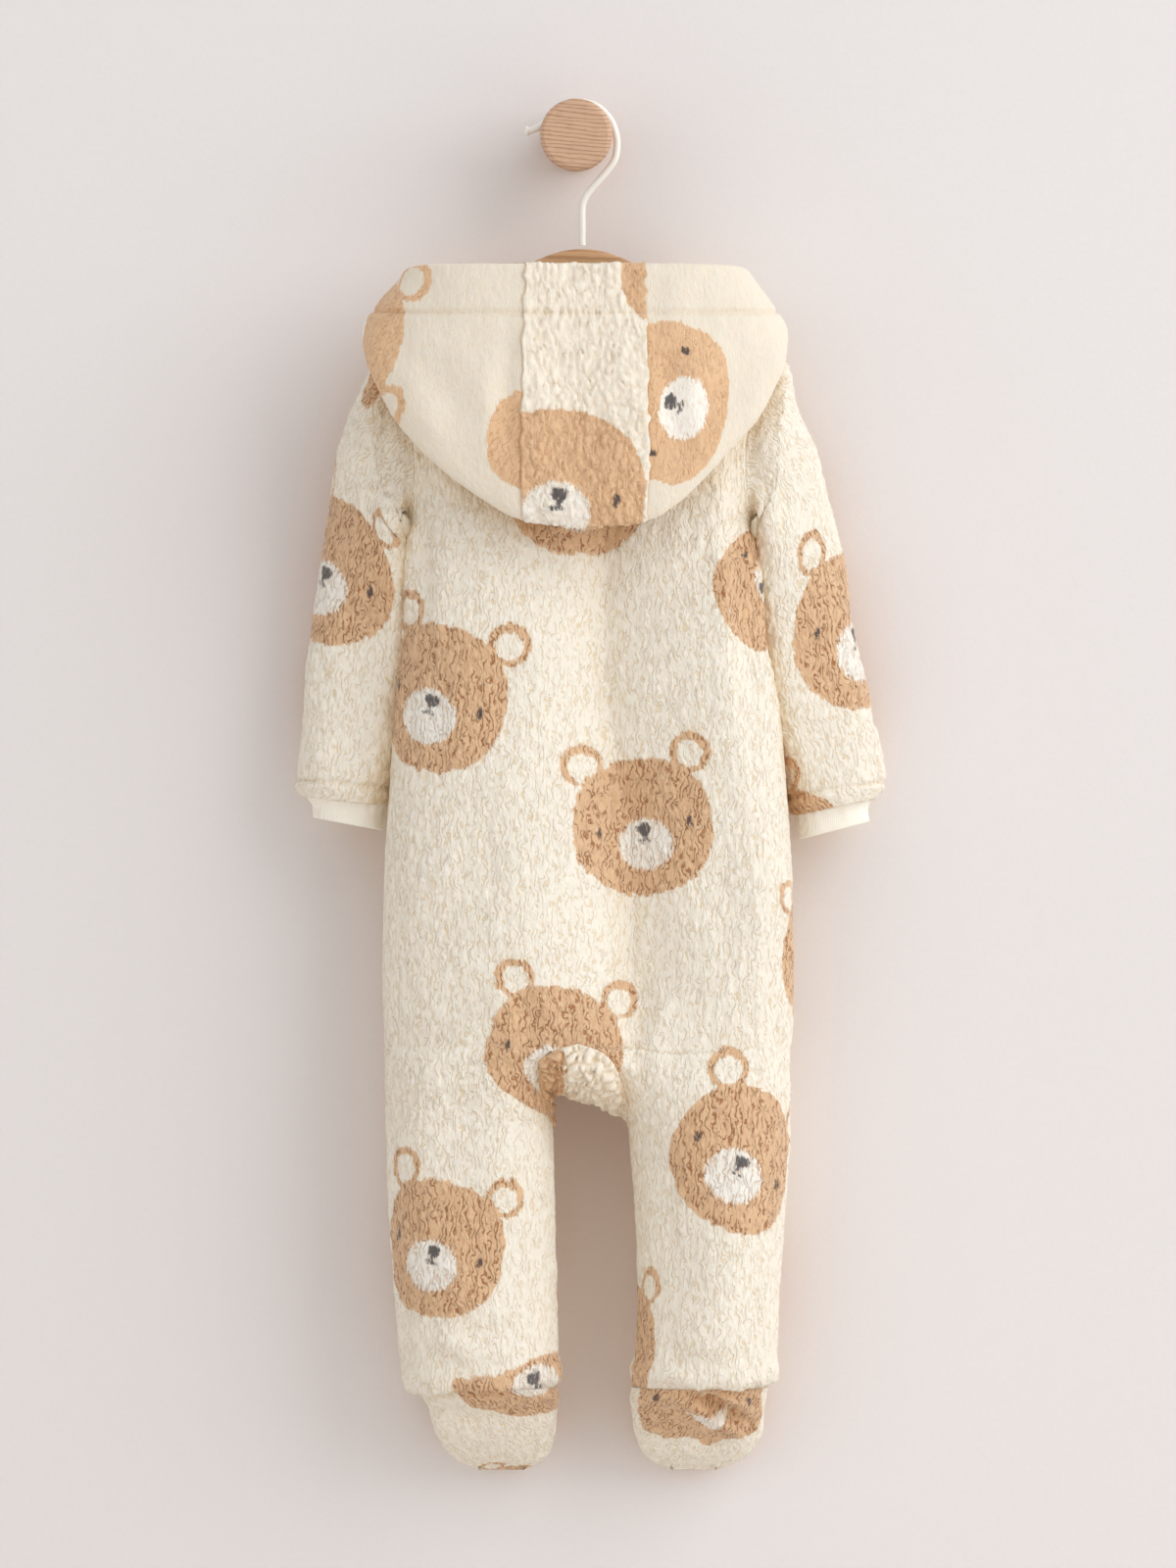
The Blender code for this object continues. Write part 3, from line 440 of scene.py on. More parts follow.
# ---------- pile and print
@dataclass(frozen=True)
class Pile:
    """How the teddy pile grows on a piece.

    Fields are in millimetres: the width and length of a tuft, how far its tips and its roots lie
    from the wall's face, the lean of the grain from vertical in degrees, and the size of the
    lumps that it gathers into.
    """

    width: float = 4.4
    length: float = 9.0
    height: float = 1.0
    sunk: float = 0.45
    lean: float = 0.0
    waver: float = 2.6
    lump: float = 0.4
    seam: float = -0.3      # how far below the wall's face it lies at a seam
    salt: int = 1

    def grow(self, grid: "Grid") -> tuple[ndarray, ndarray, ndarray]:
        """Heights over the wall's face and where each place's tuft is rooted.

        Args:
            grid: the panel that it grows on.

        Returns:
            Height in millimetres, share of the way from crevice to tip, and the root's place.
        """
        shape = grid.points.shape[:2]
        flat = grid.points.reshape(-1, 3)
        lean = math.radians(self.lean)
        turn = np.array(((math.cos(lean), 0, math.sin(lean)), (0, 1, 0),
                         (-math.sin(lean), 0, math.cos(lean))))
        turned = flat @ turn
        warped = turned.copy()
        for k, amount in enumerate((1.0, 1.0, 1.6)):
            salt, quiver = self.salt + 20 + k, 0.35 * self.waver
            warped[:, k] += self.waver * amount * soft_noise(turned, (6, 6, 9), salt)
            warped[:, k] += quiver * soft_noise(turned, (2.6, 2.6, 4), salt + 10)
        size = np.array((self.width, self.width, self.length))
        near, far, root, chance = tufts(warped / size, self.salt)
        share = smooth((far - near) / 0.42 + 0.1)
        dome = (1 - 0.45 * near * near) * (0.7 + 0.3 * chance)
        curl = soft_noise(turned, (1.1, 1.1, 2.8), self.salt + 40)
        lumps = soft_noise(flat, 11.0, self.salt + 50) + 0.6 * soft_noise(flat, 5.2, self.salt + 51)
        height = share * dome * self.height + 0.12 * curl - self.sunk + self.lump * lumps
        moved = (root * size - warped) @ turn.T
        return height.reshape(shape), share.reshape(shape), moved.reshape(*shape, 3)


@dataclass(frozen=True)
class Bear:
    """One printed bear head.

    Fields are its middle across and up, half its width, its turn in degrees, what is printed of
    it, its pale muzzle as an oval in its own size, and how much it is drawn out across.
    """

    x: float
    z: float
    size: float = 39.0
    turn: float = 0.0
    ears: bool = True
    face: bool = True
    nose: bool = True
    muzzle: tuple[float, float, float, float] = (0.0, -0.25, 0.39, 0.35)
    wide: float = 1.0

    EAR = (0.77, 0.94, 0.28, 0.185)     # reach, height, outer and inner radius
    EYE = (0.66, -0.02, 0.044, 0.08)    # reach, height, half width, half height
    NOSE = (0.0, -0.05, 0.10, 0.088)
    MOUTH = (-0.19, 0.09, 0.034)        # height of its fork, half width, half thickness

    def masks(self, u: ndarray, v: ndarray) -> ndarray:
        """How much of each ink lies at places near the head.

        Args:
            u: distance across from the middle, in millimetres.
            v: distance up from the middle.

        Returns:
            Shares of tan, pale and dark ink on the last axis.
        """
        angle = math.radians(self.turn)
        u = u / self.wide
        x = (u * math.cos(angle) + v * math.sin(angle)) / self.size
        y = (-u * math.sin(angle) + v * math.cos(angle)) / self.size
        soft = 1.1 / self.size

        def within(distance: ndarray, blur: float = soft) -> ndarray:
            """1 inside a line and 0 outside it, eased over the blur."""
            return smooth(0.5 - distance / (2 * blur))

        def oval(cx: float, cy: float, rx: float, ry: float, power: float = 2.0) -> ndarray:
            """Distance outside an oval, in its own units."""
            reach = (np.abs((x - cx) / rx) ** power + np.abs((y - cy) / ry) ** power) ** (1 / power)
            return (reach - 1) * np.minimum(rx, ry)

        reach, high, outer, inner = self.EAR
        cheeks = 0.97 + 0.03 * smooth((0.1 - y) / 0.6)
        head = within(oval(0, 0, cheeks, 0.94, 2.25))
        tan = head
        for sign in (-1, 1) if self.ears else ():
            ring = within(oval(sign * reach, high, outer, outer)) \
                * (1 - within(oval(sign * (reach - 0.01), high - 0.02, inner, inner)))
            tan = np.maximum(tan, ring * (1 - head) + head)
        if not self.face:
            return np.stack((tan, tan * 0, tan * 0), axis=-1)
        pale = within(oval(*self.muzzle), 2.2 * soft) * head
        cx, cy, rx, ry = self.NOSE
        dark = within(oval(cx, cy, rx * (1 + 0.35 * np.clip((y - cy) / ry, -1, 1)), ry))
        fork, half, thick = self.MOUTH
        stem = within(oval(0, (cy + fork) / 2, thick, (cy - fork) / 2 + 0.02))
        dark = np.maximum(dark, 0.75 * stem)
        for sign in (-1, 1):
            arm = within(oval(sign * half * 0.5, fork - 0.01, half * 0.55, thick))
            dark = np.maximum(dark, 0.7 * arm)
        dark = dark * self.nose
        ex, ey, erx, ery = self.EYE
        for sign in (-1, 1):
            dark = np.maximum(dark, 0.9 * within(oval(sign * ex, ey, erx, ery)))
        return np.stack((tan, pale, dark), axis=-1)


@dataclass(frozen=True)
class Crease:
    """A soft trough with raised lips.

    Fields are in millimetres: its line as points across and up, half its width, how deep it is in
    the middle and how high its lips stand.
    """

    line: tuple[tuple[float, float], ...]
    width: float
    depth: float
    lip: float = 0.0

    def height(self, x: ndarray, z: ndarray) -> ndarray:
        """Height that it adds at places on the panel.

        Args:
            x: distance across.
            z: distance up.

        Returns:
            Height over the wall's face, below 0 in the trough.
        """
        best = np.full(x.shape, 1e9)
        run = np.zeros(x.shape)
        spots = np.array(self.line, dtype=float)
        starts = along_curve(spots)
        for (ax, az), (bx, bz), length, start in zip(spots, spots[1:], np.diff(starts), starts):
            f = np.clip(((x - ax) * (bx - ax) + (z - az) * (bz - az)) / length ** 2, 0, 1)
            distance = np.hypot(x - ax - f * (bx - ax), z - az - f * (bz - az))
            nearer = distance < best
            best = np.where(nearer, distance, best)
            run = np.where(nearer, (start + f * length) / starts[-1], run)
        taper = np.sin(np.pi * np.clip(run, 0.0, 1.0)) ** 0.7
        place = best / self.width
        return taper * (-self.depth * np.exp(-place ** 2)
                        + self.lip * np.exp(-(place - 1.9) ** 2 * 1.6))


# ---------- gridded panels and shells
@dataclass
class Grid:
    """A panel of cloth as rows of points, with what grows on its outside.

    Fields:
        points: (rows, columns, 3) points of the wall's face, in millimetres.
        outward: 1 or -1, so that the normals point out.
        closed: whether the last column is the first one again.
        seams: which edges are sewn, and from which to which step.
        hem: rows at the bottom that fold over the edge, 0 or PANEL_TURN.
        upright: whether heights on its print run straight up, not along the cloth.
    """

    points: ndarray
    outward: int = 1
    closed: bool = False
    seams: dict[Edge, tuple[int, int]] = field(default_factory=dict)
    hem: int = 0
    upright: bool = False
    normals: ndarray = field(init=False)
    right: ndarray = field(init=False)
    down: ndarray = field(init=False)
    a: ndarray = field(init=False)
    b: ndarray = field(init=False)
    lift: ndarray | None = None
    print: ndarray | None = None
    share: ndarray | None = None
    run: ndarray | None = None

    def __post_init__(self) -> None:
        """Work out tangents, normals and distances along the cloth."""
        self.measure()

    def measure(self) -> None:
        """Work out tangents, normals and distances along the cloth."""
        points = self.points
        if self.closed:
            points[:, -1] = points[:, 0]
            ring = np.concatenate((points[:, -2:-1], points, points[:, 1:2]), axis=1)
            right = (ring[:, 2:] - ring[:, :-2]) / 2
        else:
            right = np.gradient(points, axis=1)
        down = np.gradient(points, axis=0)
        self.right, self.down = unit(right), unit(down)
        self.normals = unit(np.cross(self.right, self.down)) * self.outward
        step_a = np.linalg.norm(np.diff(points, axis=1), axis=-1)
        step_b = np.linalg.norm(np.diff(points, axis=0), axis=-1)
        self.a = np.concatenate((np.zeros((len(points), 1)), np.cumsum(step_a, axis=1)), axis=1)
        self.b = np.concatenate((np.zeros((1, points.shape[1])), np.cumsum(step_b, axis=0)), axis=0)

    def face(self, direction: tuple[float, float, float] | None = None) -> "Grid":
        """Turn the normals to the outside.

        Args:
            direction: where they point on the whole, or None for out of a tube.

        Returns:
            The grid itself.
        """
        if direction is None:
            direction = self.points - self.points.mean(axis=1, keepdims=True)
        mean = (self.normals * np.array(direction)).sum(axis=-1).mean()
        if mean < 0:
            self.outward = -self.outward
            self.normals = -self.normals
        return self

    def shift(self, amount: ndarray) -> None:
        """Move the wall itself along its normals, as a crease or a swell does."""
        rest = self.a, self.b
        self.points = self.points + self.normals * amount[..., None]
        self.measure()
        self.a, self.b = rest

    def unroll(self, line: ndarray) -> None:
        """Measure distances across the cloth from a line at one x in each row.

        Args:
            line: the line's x in each row.
        """
        x = self.points[..., 0]
        sign = 1 if x[:, -1].mean() > x[:, 0].mean() else -1
        start = np.array([np.interp(sign * place, sign * row, along)
                          for place, row, along in zip(line, x, self.a)])
        self.run = line[:, None] + sign * (self.a - start[:, None])

    def stitch(self, groove: ndarray) -> None:
        """Press a line of stitches into the pile, with shade painted into its groove.

        Args:
            groove: height that it adds in each row and column above the fold of the hem.
        """
        depth = np.zeros(self.a.shape)
        depth[:len(groove)] = groove
        self.lift = self.lift + depth
        # painted shade: the pile's share is lowered in the groove, which darkens its colour
        self.share = self.share * (1 + np.minimum(depth, 0) / 2)

    def turn_hem(self, radius: float) -> None:
        """Add rows that fold the cloth over its bottom edge, round half a turn.

        Args:
            radius: how tight the fold is.
        """
        end, down, normal = self.points[-1], self.down[-1], self.normals[-1]
        rows = [self.points]
        for i in range(1, PANEL_TURN + 1):
            turn = math.pi * i / PANEL_TURN
            rows.append((end + down * radius * math.sin(turn)
                         - normal * radius * (1 - math.cos(turn)))[None])
        self.points = np.concatenate(rows)
        self.hem = PANEL_TURN
        self.measure()

    def whole(self, edge: Edge) -> tuple[int, int]:
        """First and last step of a whole edge."""
        return 0, self.points.shape[1 - edge.value[0]] - 1

    def sew(self, *edges: Edge) -> "Grid":
        """Sew these edges from end to end."""
        self.seams.update((edge, self.whole(edge)) for edge in edges)
        return self

    def rims(self) -> dict[Edge, tuple[int, int]]:
        """Edges that a rim closes, the sewn ones and a turned hem, with their steps."""
        folded = {Edge.BOTTOM: self.whole(Edge.BOTTOM)} if self.hem else {}
        return self.seams | folded

    def from_edges(self) -> ndarray:
        """Measure how far each point lies from its nearest sewn edge.

        Returns:
            Distances in millimetres.
        """
        far = np.full(self.a.shape, 1e6)
        for edge, (start, stop) in self.seams.items():
            axis, last = edge.value
            straight, along = (self.a, self.b) if axis else (self.b, self.a)
            if last:
                straight = np.take(straight, [-1], axis) - straight
            if (start, stop) != self.whole(edge):
                past = np.maximum(along[start:start + 1] - along, along - along[stop:stop + 1])
                straight = np.hypot(straight, np.maximum(past, 0))
            far = np.minimum(far, straight)
        return far


@dataclass
class Shell:
    """A closed wall of cloth, from one or more gridded panels that share edges."""

    name: str
    slot: str
    wall: float = FLEECE_WALL
    grids: list[Grid] = field(default_factory=list)

    def add(self, grid: Grid, pile: Pile | None, bears: tuple[Bear, ...] = (),
            window: ndarray | None = None, fade: float = 3.2) -> None:
        """Grow pile and print on a panel and add it.

        Args:
            grid: the panel.
            pile: how its pile grows, or None for plain cloth.
            bears: the heads that are printed on it, placed by their x and z.
            window: True where a head's middle may be looked for.
            fade: how far from a seam the pile stands at its full height.
        """
        shape = grid.points.shape[:2]
        if pile is None:
            grid.lift = np.zeros(shape)
            grid.share = np.ones(shape)
            moved = np.zeros((*shape, 3))
        else:
            height, share, moved = pile.grow(grid)
            stand = smooth(0.15 + 0.85 * grid.from_edges() / fade)
            grid.lift = height * stand - (1 - stand) * pile.seam
            if grid.hem:
                down = np.clip(np.arange(shape[0]) - (shape[0] - 1 - grid.hem), 0, grid.hem)
                grid.lift = grid.lift * (1 - smooth(down / grid.hem))[:, None]
            # painted shade: a lower share near the seams darkens the pile's colour there
            grid.share = share * (0.88 + 0.12 * stand)
        grid.print = self.ink(grid, moved, bears, window)
        self.grids.append(grid)

    @staticmethod
    def ink(grid: Grid, moved: ndarray, bears: tuple[Bear, ...],
            window: ndarray | None) -> ndarray:
        """Shares of tan, pale and dark ink, taken mostly at the root of each tuft.

        Args:
            grid: the panel.
            moved: from each place to the root of its tuft.
            bears: heads placed by their x and z on the panel.
            window: True where a head's middle may be looked for.

        Returns:
            (rows, columns, 3) shares.
        """
        inked = np.zeros(grid.points.shape)
        da = (moved * grid.right).sum(axis=-1) * 0.18
        db = (moved * grid.down).sum(axis=-1) * 0.18
        ragged = 0.7 * soft_noise(grid.points, (2.4, 2.4, 3.4), 91)
        for bear in bears:
            gap = np.hypot(grid.points[..., 0] - bear.x, grid.points[..., 2] - bear.z)
            if window is not None:
                gap = np.where(window, gap, gap + 1e4)
            if grid.hem:
                gap[-grid.hem - 1:] = 1e6
            row, column = np.unravel_index(np.argmin(gap), gap.shape)
            run_a = grid.a - grid.a[:, column:column + 1] + da
            run_b = grid.b - grid.b[row:row + 1] + db
            if grid.closed:
                girth = grid.a[:, -1:]
                run_a = run_a - girth * np.round(run_a / girth)
                heading = grid.right[row, column, 0]
            elif window is not None:
                heading = (grid.right[row, :, 0] * window[row]).sum()
            else:
                heading = grid.points[row, -1, 0] - grid.points[row, 0, 0]
            sign_a = 1 if heading >= 0 else -1
            sign_b = 1 if grid.down[row, column, 2] >= 0 else -1
            u = sign_a * run_a + (grid.points[:, column, 0] - bear.x)[:, None] + ragged * 0.6
            v = sign_b * run_b + (grid.points[row, :, 2] - bear.z)[None, :] + ragged
            if grid.upright:
                v = grid.points[..., 2] - bear.z + sign_b * db + ragged
            shares = bear.masks(u, v)
            # the face is printed over the locks, so it strays less than the head's outline
            u, v = u - sign_a * da - ragged * 0.5, v - sign_b * db - ragged * 0.5
            shares[..., 1:] = bear.masks(u, v)[..., 1:]
            inked = np.maximum(inked, shares)
        return inked

    @staticmethod
    def overprint(grid: Grid, bears: tuple[Bear, ...], window: ndarray | None = None,
                  share: ndarray | float = 1.0) -> None:
        """Print more heads over a dressed panel.

        Args:
            grid: the panel.
            bears: the heads.
            window: True where a head's middle may be looked for.
            share: how much of their ink is laid on at each place.
        """
        more = Shell.ink(grid, np.zeros((*grid.a.shape, 3)), bears, window)
        grid.print = np.maximum(grid.print, more * np.asarray(share)[..., None])

    def build(self) -> Object:
        """Write the closed mesh: pile outside, a plain wall inside, and rims between them.

        Returns:
            The new object, at the origin.
        """
        places, inks, piles, quads, fans = [], [], [], [], []
        count = 0
        for grid in self.grids:
            outer, inner = self.layers(grid)
            rows, columns = outer.shape[:2]
            ids = count + np.arange(rows * columns).reshape(rows, columns)
            count += rows * columns
            coarse = count + np.arange(inner.shape[0] * inner.shape[1]).reshape(inner.shape[:2])
            count += coarse.size
            places += [outer.reshape(-1, 3), inner.reshape(-1, 3)]
            inks += [grid.print.reshape(-1, 3), np.zeros((coarse.size, 3))]
            inside = np.zeros((rows, columns))
            if grid.hem:
                inside[-(grid.hem // 2):] = 1
            run = grid.run
            if run is None:
                run = np.abs(grid.a - grid.a[:, -1:] / 2) if grid.closed else grid.a
            piles += [np.stack((grid.share.ravel(), inside.ravel(), run.ravel() * MM), axis=1),
                      np.tile((1.0, 1.0, 0.0), (coarse.size, 1))]
            flip = grid.outward > 0
            quads += [self.faces(ids, flip), self.faces(coarse, not flip)]
            fans += [self.fan(ids, coarse, edge, span, flip) for edge, span in grid.rims().items()]
        return self.write(*map(np.concatenate, (places, inks, piles, quads, fans)))

    def layers(self, grid: Grid) -> tuple[ndarray, ndarray]:
        """Outer points with their pile and every fifth inner point, both short of the seams.

        Args:
            grid: a dressed panel.

        Returns:
            Outer and inner grids of points.
        """
        k = PANEL_TURN
        outer = grid.points + grid.normals * grid.lift[..., None]
        body = grid.points.shape[0] - grid.hem
        inner = grid.points[:body:k, ::k] - grid.normals[:body:k, ::k] * self.wall
        for edge, (start, stop) in grid.seams.items():
            whole = (start, stop) == grid.whole(edge)
            axis, last = edge.value
            beside = -2 if last else 1
            for layer, turn in ((outer, 1), (inner, k)):
                rows = np.moveaxis(layer, axis, 0)
                # a seam that stops inside an edge leaves its end point where the panels join
                span = slice(start // turn + (0 if whole else 1), None)
                rows[last, span] += unit(rows[beside, span] - rows[last, span]) * SEAM_HALF
        if grid.hem:
            inner[-1] = outer[-1, ::k]
        return outer, inner

    @staticmethod
    def faces(ids: ndarray, flip: bool) -> ndarray:
        """Quads of a grid of vertex numbers."""
        quad = np.stack((ids[:-1, :-1], ids[1:, :-1], ids[1:, 1:], ids[:-1, 1:]), axis=-1)
        quad = quad.reshape(-1, 4)
        return quad[:, ::-1] if flip else quad

    @staticmethod
    def fan(ids: ndarray, coarse: ndarray, edge: Edge, span: tuple[int, int],
            flip: bool) -> ndarray:
        """Triangles between an outer edge and the coarser inner edge.

        Args:
            ids: vertex numbers of the outer grid.
            coarse: vertex numbers of the inner grid.
            edge: which edge.
            span: from which to which outer step.
            flip: whether the outer quads are turned over.

        Returns:
            (n, 3) vertex numbers.
        """
        k = PANEL_TURN
        axis, last = edge.value
        line, inner = (np.take(numbers, last, axis) for numbers in (ids, coarse))
        start, stop = span
        made = []
        for step in range(start // k, stop // k):
            low = step * k
            middle = low + (k + 1) // 2
            for i in range(low, low + k):
                hub = inner[step] if i < middle else inner[step + 1]
                made.append((line[i], line[i + 1], hub))
            made.append((line[middle], inner[step + 1], inner[step]))
        made = np.array(made)
        onward = edge in (Edge.TOP, Edge.END)
        return made[:, ::-1] if onward == flip else made

    def write(self, places: ndarray, inks: ndarray, piles: ndarray, quads: ndarray,
              fans: ndarray) -> Object:
        """Weld shared points and make the mesh with its attributes.

        Args:
            places: points in millimetres.
            inks: shares of ink at the points.
            piles: pile share, inside mask and distance across in metres at the points.
            quads: faces with four corners.
            fans: faces with three.

        Returns:
            The new object.
        """
        keys = np.round(places * 2000).astype(np.int64)
        keys = (keys[:, 0] * 4_000_003 + keys[:, 1]) * 4_000_003 + keys[:, 2]
        _, first, place_of = np.unique(keys, return_index=True, return_inverse=True)
        quads, fans = place_of[quads], place_of[fans]
        fans = fans[(fans != np.roll(fans, 1, axis=1)).all(axis=1)]
        mesh = bpy.data.meshes.new(self.name)
        mesh.vertices.add(len(first))
        mesh.vertices.foreach_set("co", (places[first] * MM).astype(np.float32).ravel())
        corners = np.concatenate((quads.ravel(), fans.ravel())).astype(np.int32)
        mesh.loops.add(len(corners))
        mesh.loops.foreach_set("vertex_index", corners)
        sizes = np.concatenate((np.full(len(quads), 4), np.full(len(fans), 3)))
        starts = np.concatenate(([0], np.cumsum(sizes)[:-1]))
        mesh.polygons.add(len(sizes))
        mesh.polygons.foreach_set("loop_start", starts.astype(np.int32))
        mesh.update(calc_edges=True)
        for name, values in (("print", inks), ("pile", piles)):
            layer = mesh.attributes.new(name, "FLOAT_VECTOR", "POINT")
            layer.data.foreach_set("vector", values[first].astype(np.float32).ravel())
        mesh.polygons.foreach_set("use_smooth", np.ones(len(sizes), dtype=bool))
        mesh.validate(verbose=False)
        return adopt(bpy.data.objects.new(self.name, mesh))


def adopt(piece: Object) -> Object:
    """Link a new object to the scene and select it alone.

    Args:
        piece: the object.

    Returns:
        The same object.
    """
    deselect()
    bpy.context.scene.collection.objects.link(piece)
    bpy.context.view_layer.objects.active = piece
    piece.select_set(True)
    return piece


def deselect() -> None:
    """Deselect every object."""
    for item in bpy.context.selected_objects:
        item.select_set(False)


# ---------- materials
@dataclass
class Wiring:
    """Short hand for placing and joining nodes in one tree."""

    tree: NodeTree

    def node(self, kind: str, **settings: object) -> Node:
        """Place a node.

        Args:
            kind: its type's name without the ShaderNode prefix, or the whole name.
            settings: properties to set on it.

        Returns:
            The node.
        """
        name = kind if kind.startswith("Node") else "ShaderNode" + kind
        made = self.tree.nodes.new(name)
        for key, value in settings.items():
            setattr(made, key, value)
        return made

    def feed(self, socket: NodeSocket, value: object) -> None:
        """Join an output to a socket, or set the socket to a value."""
        if isinstance(value, NodeSocket):
            self.tree.links.new(value, socket)
        else:
            socket.default_value = value

    def fill(self, node: Node, values: dict[str, object]) -> Node:
        """Feed some of a node's sockets by their names."""
        for name, value in values.items():
            self.feed(node.inputs[name], value)
        return node

    def group(self, tree: NodeTree, values: dict[str, object]) -> Node:
        """Place a shared group with its own values."""
        return self.fill(self.node("Group", node_tree=tree), values)

    def place(self) -> NodeSocket:
        """Coordinates on the object."""
        return self.node("TexCoord").outputs["Object"]

    def split(self, vector: NodeSocket) -> NodeOutputs:
        """X, Y and Z of a vector."""
        return self.fill(self.node("SeparateXYZ"), {"Vector": vector}).outputs

    def brighten(self, colour: object, factor: object) -> NodeSocket:
        """Colour with its brightness multiplied."""
        made = self.fill(self.node("HueSaturation"), {"Color": colour, "Value": factor})
        return made.outputs["Color"]

    def bump(self, height: object, strength: object, distance: float) -> NodeSocket:
        """Normal of a fine relief."""
        made = self.fill(self.node("Bump"), {
            "Height": height, "Strength": strength, "Distance": distance,
        })
        return made.outputs["Normal"]

    def math(self, operation: str, *values: object, clamp: bool = False) -> NodeSocket:
        """Place a math node.

        Args:
            operation: what it works out.
            values: numbers or outputs that go in.
            clamp: whether the result is kept from 0 to 1.

        Returns:
            Its result.
        """
        made = self.node("Math", operation=operation, use_clamp=clamp)
        for socket, value in zip(made.inputs, values):
            self.feed(socket, value)
        return made.outputs[0]

    def times(self, *values: object) -> NodeSocket:
        """Product of two values."""
        return self.math("MULTIPLY", *values)

    def ramp(self, *values: object) -> NodeSocket:
        """First value times the second, plus the third."""
        return self.math("MULTIPLY_ADD", *values)

    def mix(self, share: object, first: object, second: object) -> NodeSocket:
        """Colour between two colours."""
        made = self.node("Mix", data_type="RGBA")
        return self.fill(made, {"Factor": share, "A": first, "B": second}).outputs["Result"]

    def spread(self, value: object, low: float, high: float) -> NodeSocket:
        """Ease a value from 0 at low to 1 at high."""
        made = self.node("MapRange", interpolation_type="SMOOTHSTEP")
        self.fill(made, {"Value": value, "From Min": low, "From Max": high})
        return made.outputs["Result"]

    def noise(self, vector: object, scale: float, detail: float,
              rough: float = 0.5) -> NodeSocket:
        """Value of a noise texture."""
        return self.fill(self.node("TexNoise"), {
            "Vector": vector, "Scale": scale, "Detail": detail, "Roughness": rough,
        }).outputs["Fac"]

    def painted_hollow_shade(self, colour: object, reach: float, span: tuple[float, float],
                tint: tuple[float, float, float]) -> NodeSocket:
        """A colour with warm shade painted in where a surface is shut in, as pale fleece is shaded
        by its own light.

        Args:
            colour: the colour in the open.
            reach: how far its surroundings are looked at, in metres.
            span: openness at which the tint is full, and at which it is gone.
            tint: what the colour is multiplied by where the painted shade is full.

        Returns:
            The colour.
        """
        shut = self.fill(self.node("AmbientOcclusion", samples=6), {"Distance": reach})
        # painted shade: the colour darkened and warmed by the tint, laid on where ambient occlusion
        # finds the surface shut in
        warm = self.node("VectorMath", operation="MULTIPLY")
        self.feed(warm.inputs[0], colour)
        self.feed(warm.inputs[1], tint)
        return self.mix(self.spread(shut.outputs["AO"], *span), warm.outputs[0], colour)

    def stretched(self, vector: object, scale: tuple[float, float, float]) -> NodeSocket:
        """Coordinates scaled along each axis."""
        made = self.node("Mapping", vector_type="POINT")
        return self.fill(made, {"Vector": vector, "Scale": scale}).outputs["Vector"]


def linear(*colour: int) -> tuple[float, ...]:
    """Scene colour of a display colour."""
    shares = (value / 255 for value in colour)
    return (*(share / 12.92 if share <= 0.04045 else ((share + 0.055) / 1.055) ** 2.4
              for share in shares), 1.0)


def new_group(name: str, inputs: dict[str, object],
              outputs: dict[str, str]) -> tuple[NodeTree, Wiring, dict, dict]:
    """Start a shader node group with named sockets.

    Args:
        name: the group's name.
        inputs: default of each input, a colour or a number.
        outputs: kind of each output.

    Returns:
        The group, its wiring, its inputs by name and its outputs by name.
    """
    tree = bpy.data.node_groups.new(name, "ShaderNodeTree")
    for label, value in inputs.items():
        kind = "NodeSocketColor" if isinstance(value, tuple) else "NodeSocketFloat"
        tree.interface.new_socket(label, in_out="INPUT", socket_type=kind).default_value = value
    for label, kind in outputs.items():
        tree.interface.new_socket(label, in_out="OUTPUT", socket_type="NodeSocket" + kind)
    wire = Wiring(tree)
    return tree, wire, wire.node("NodeGroupInput").outputs, wire.node("NodeGroupOutput").inputs


def new_material(name: str) -> tuple[Material, Wiring, Node]:
    """Start a material.

    Args:
        name: the material's name.

    Returns:
        The material, its wiring and its Principled shader.
    """
    material = bpy.data.materials.new(name)
    material.use_nodes = True
    tree = material.node_tree
    return material, Wiring(tree), tree.nodes["Principled BSDF"]


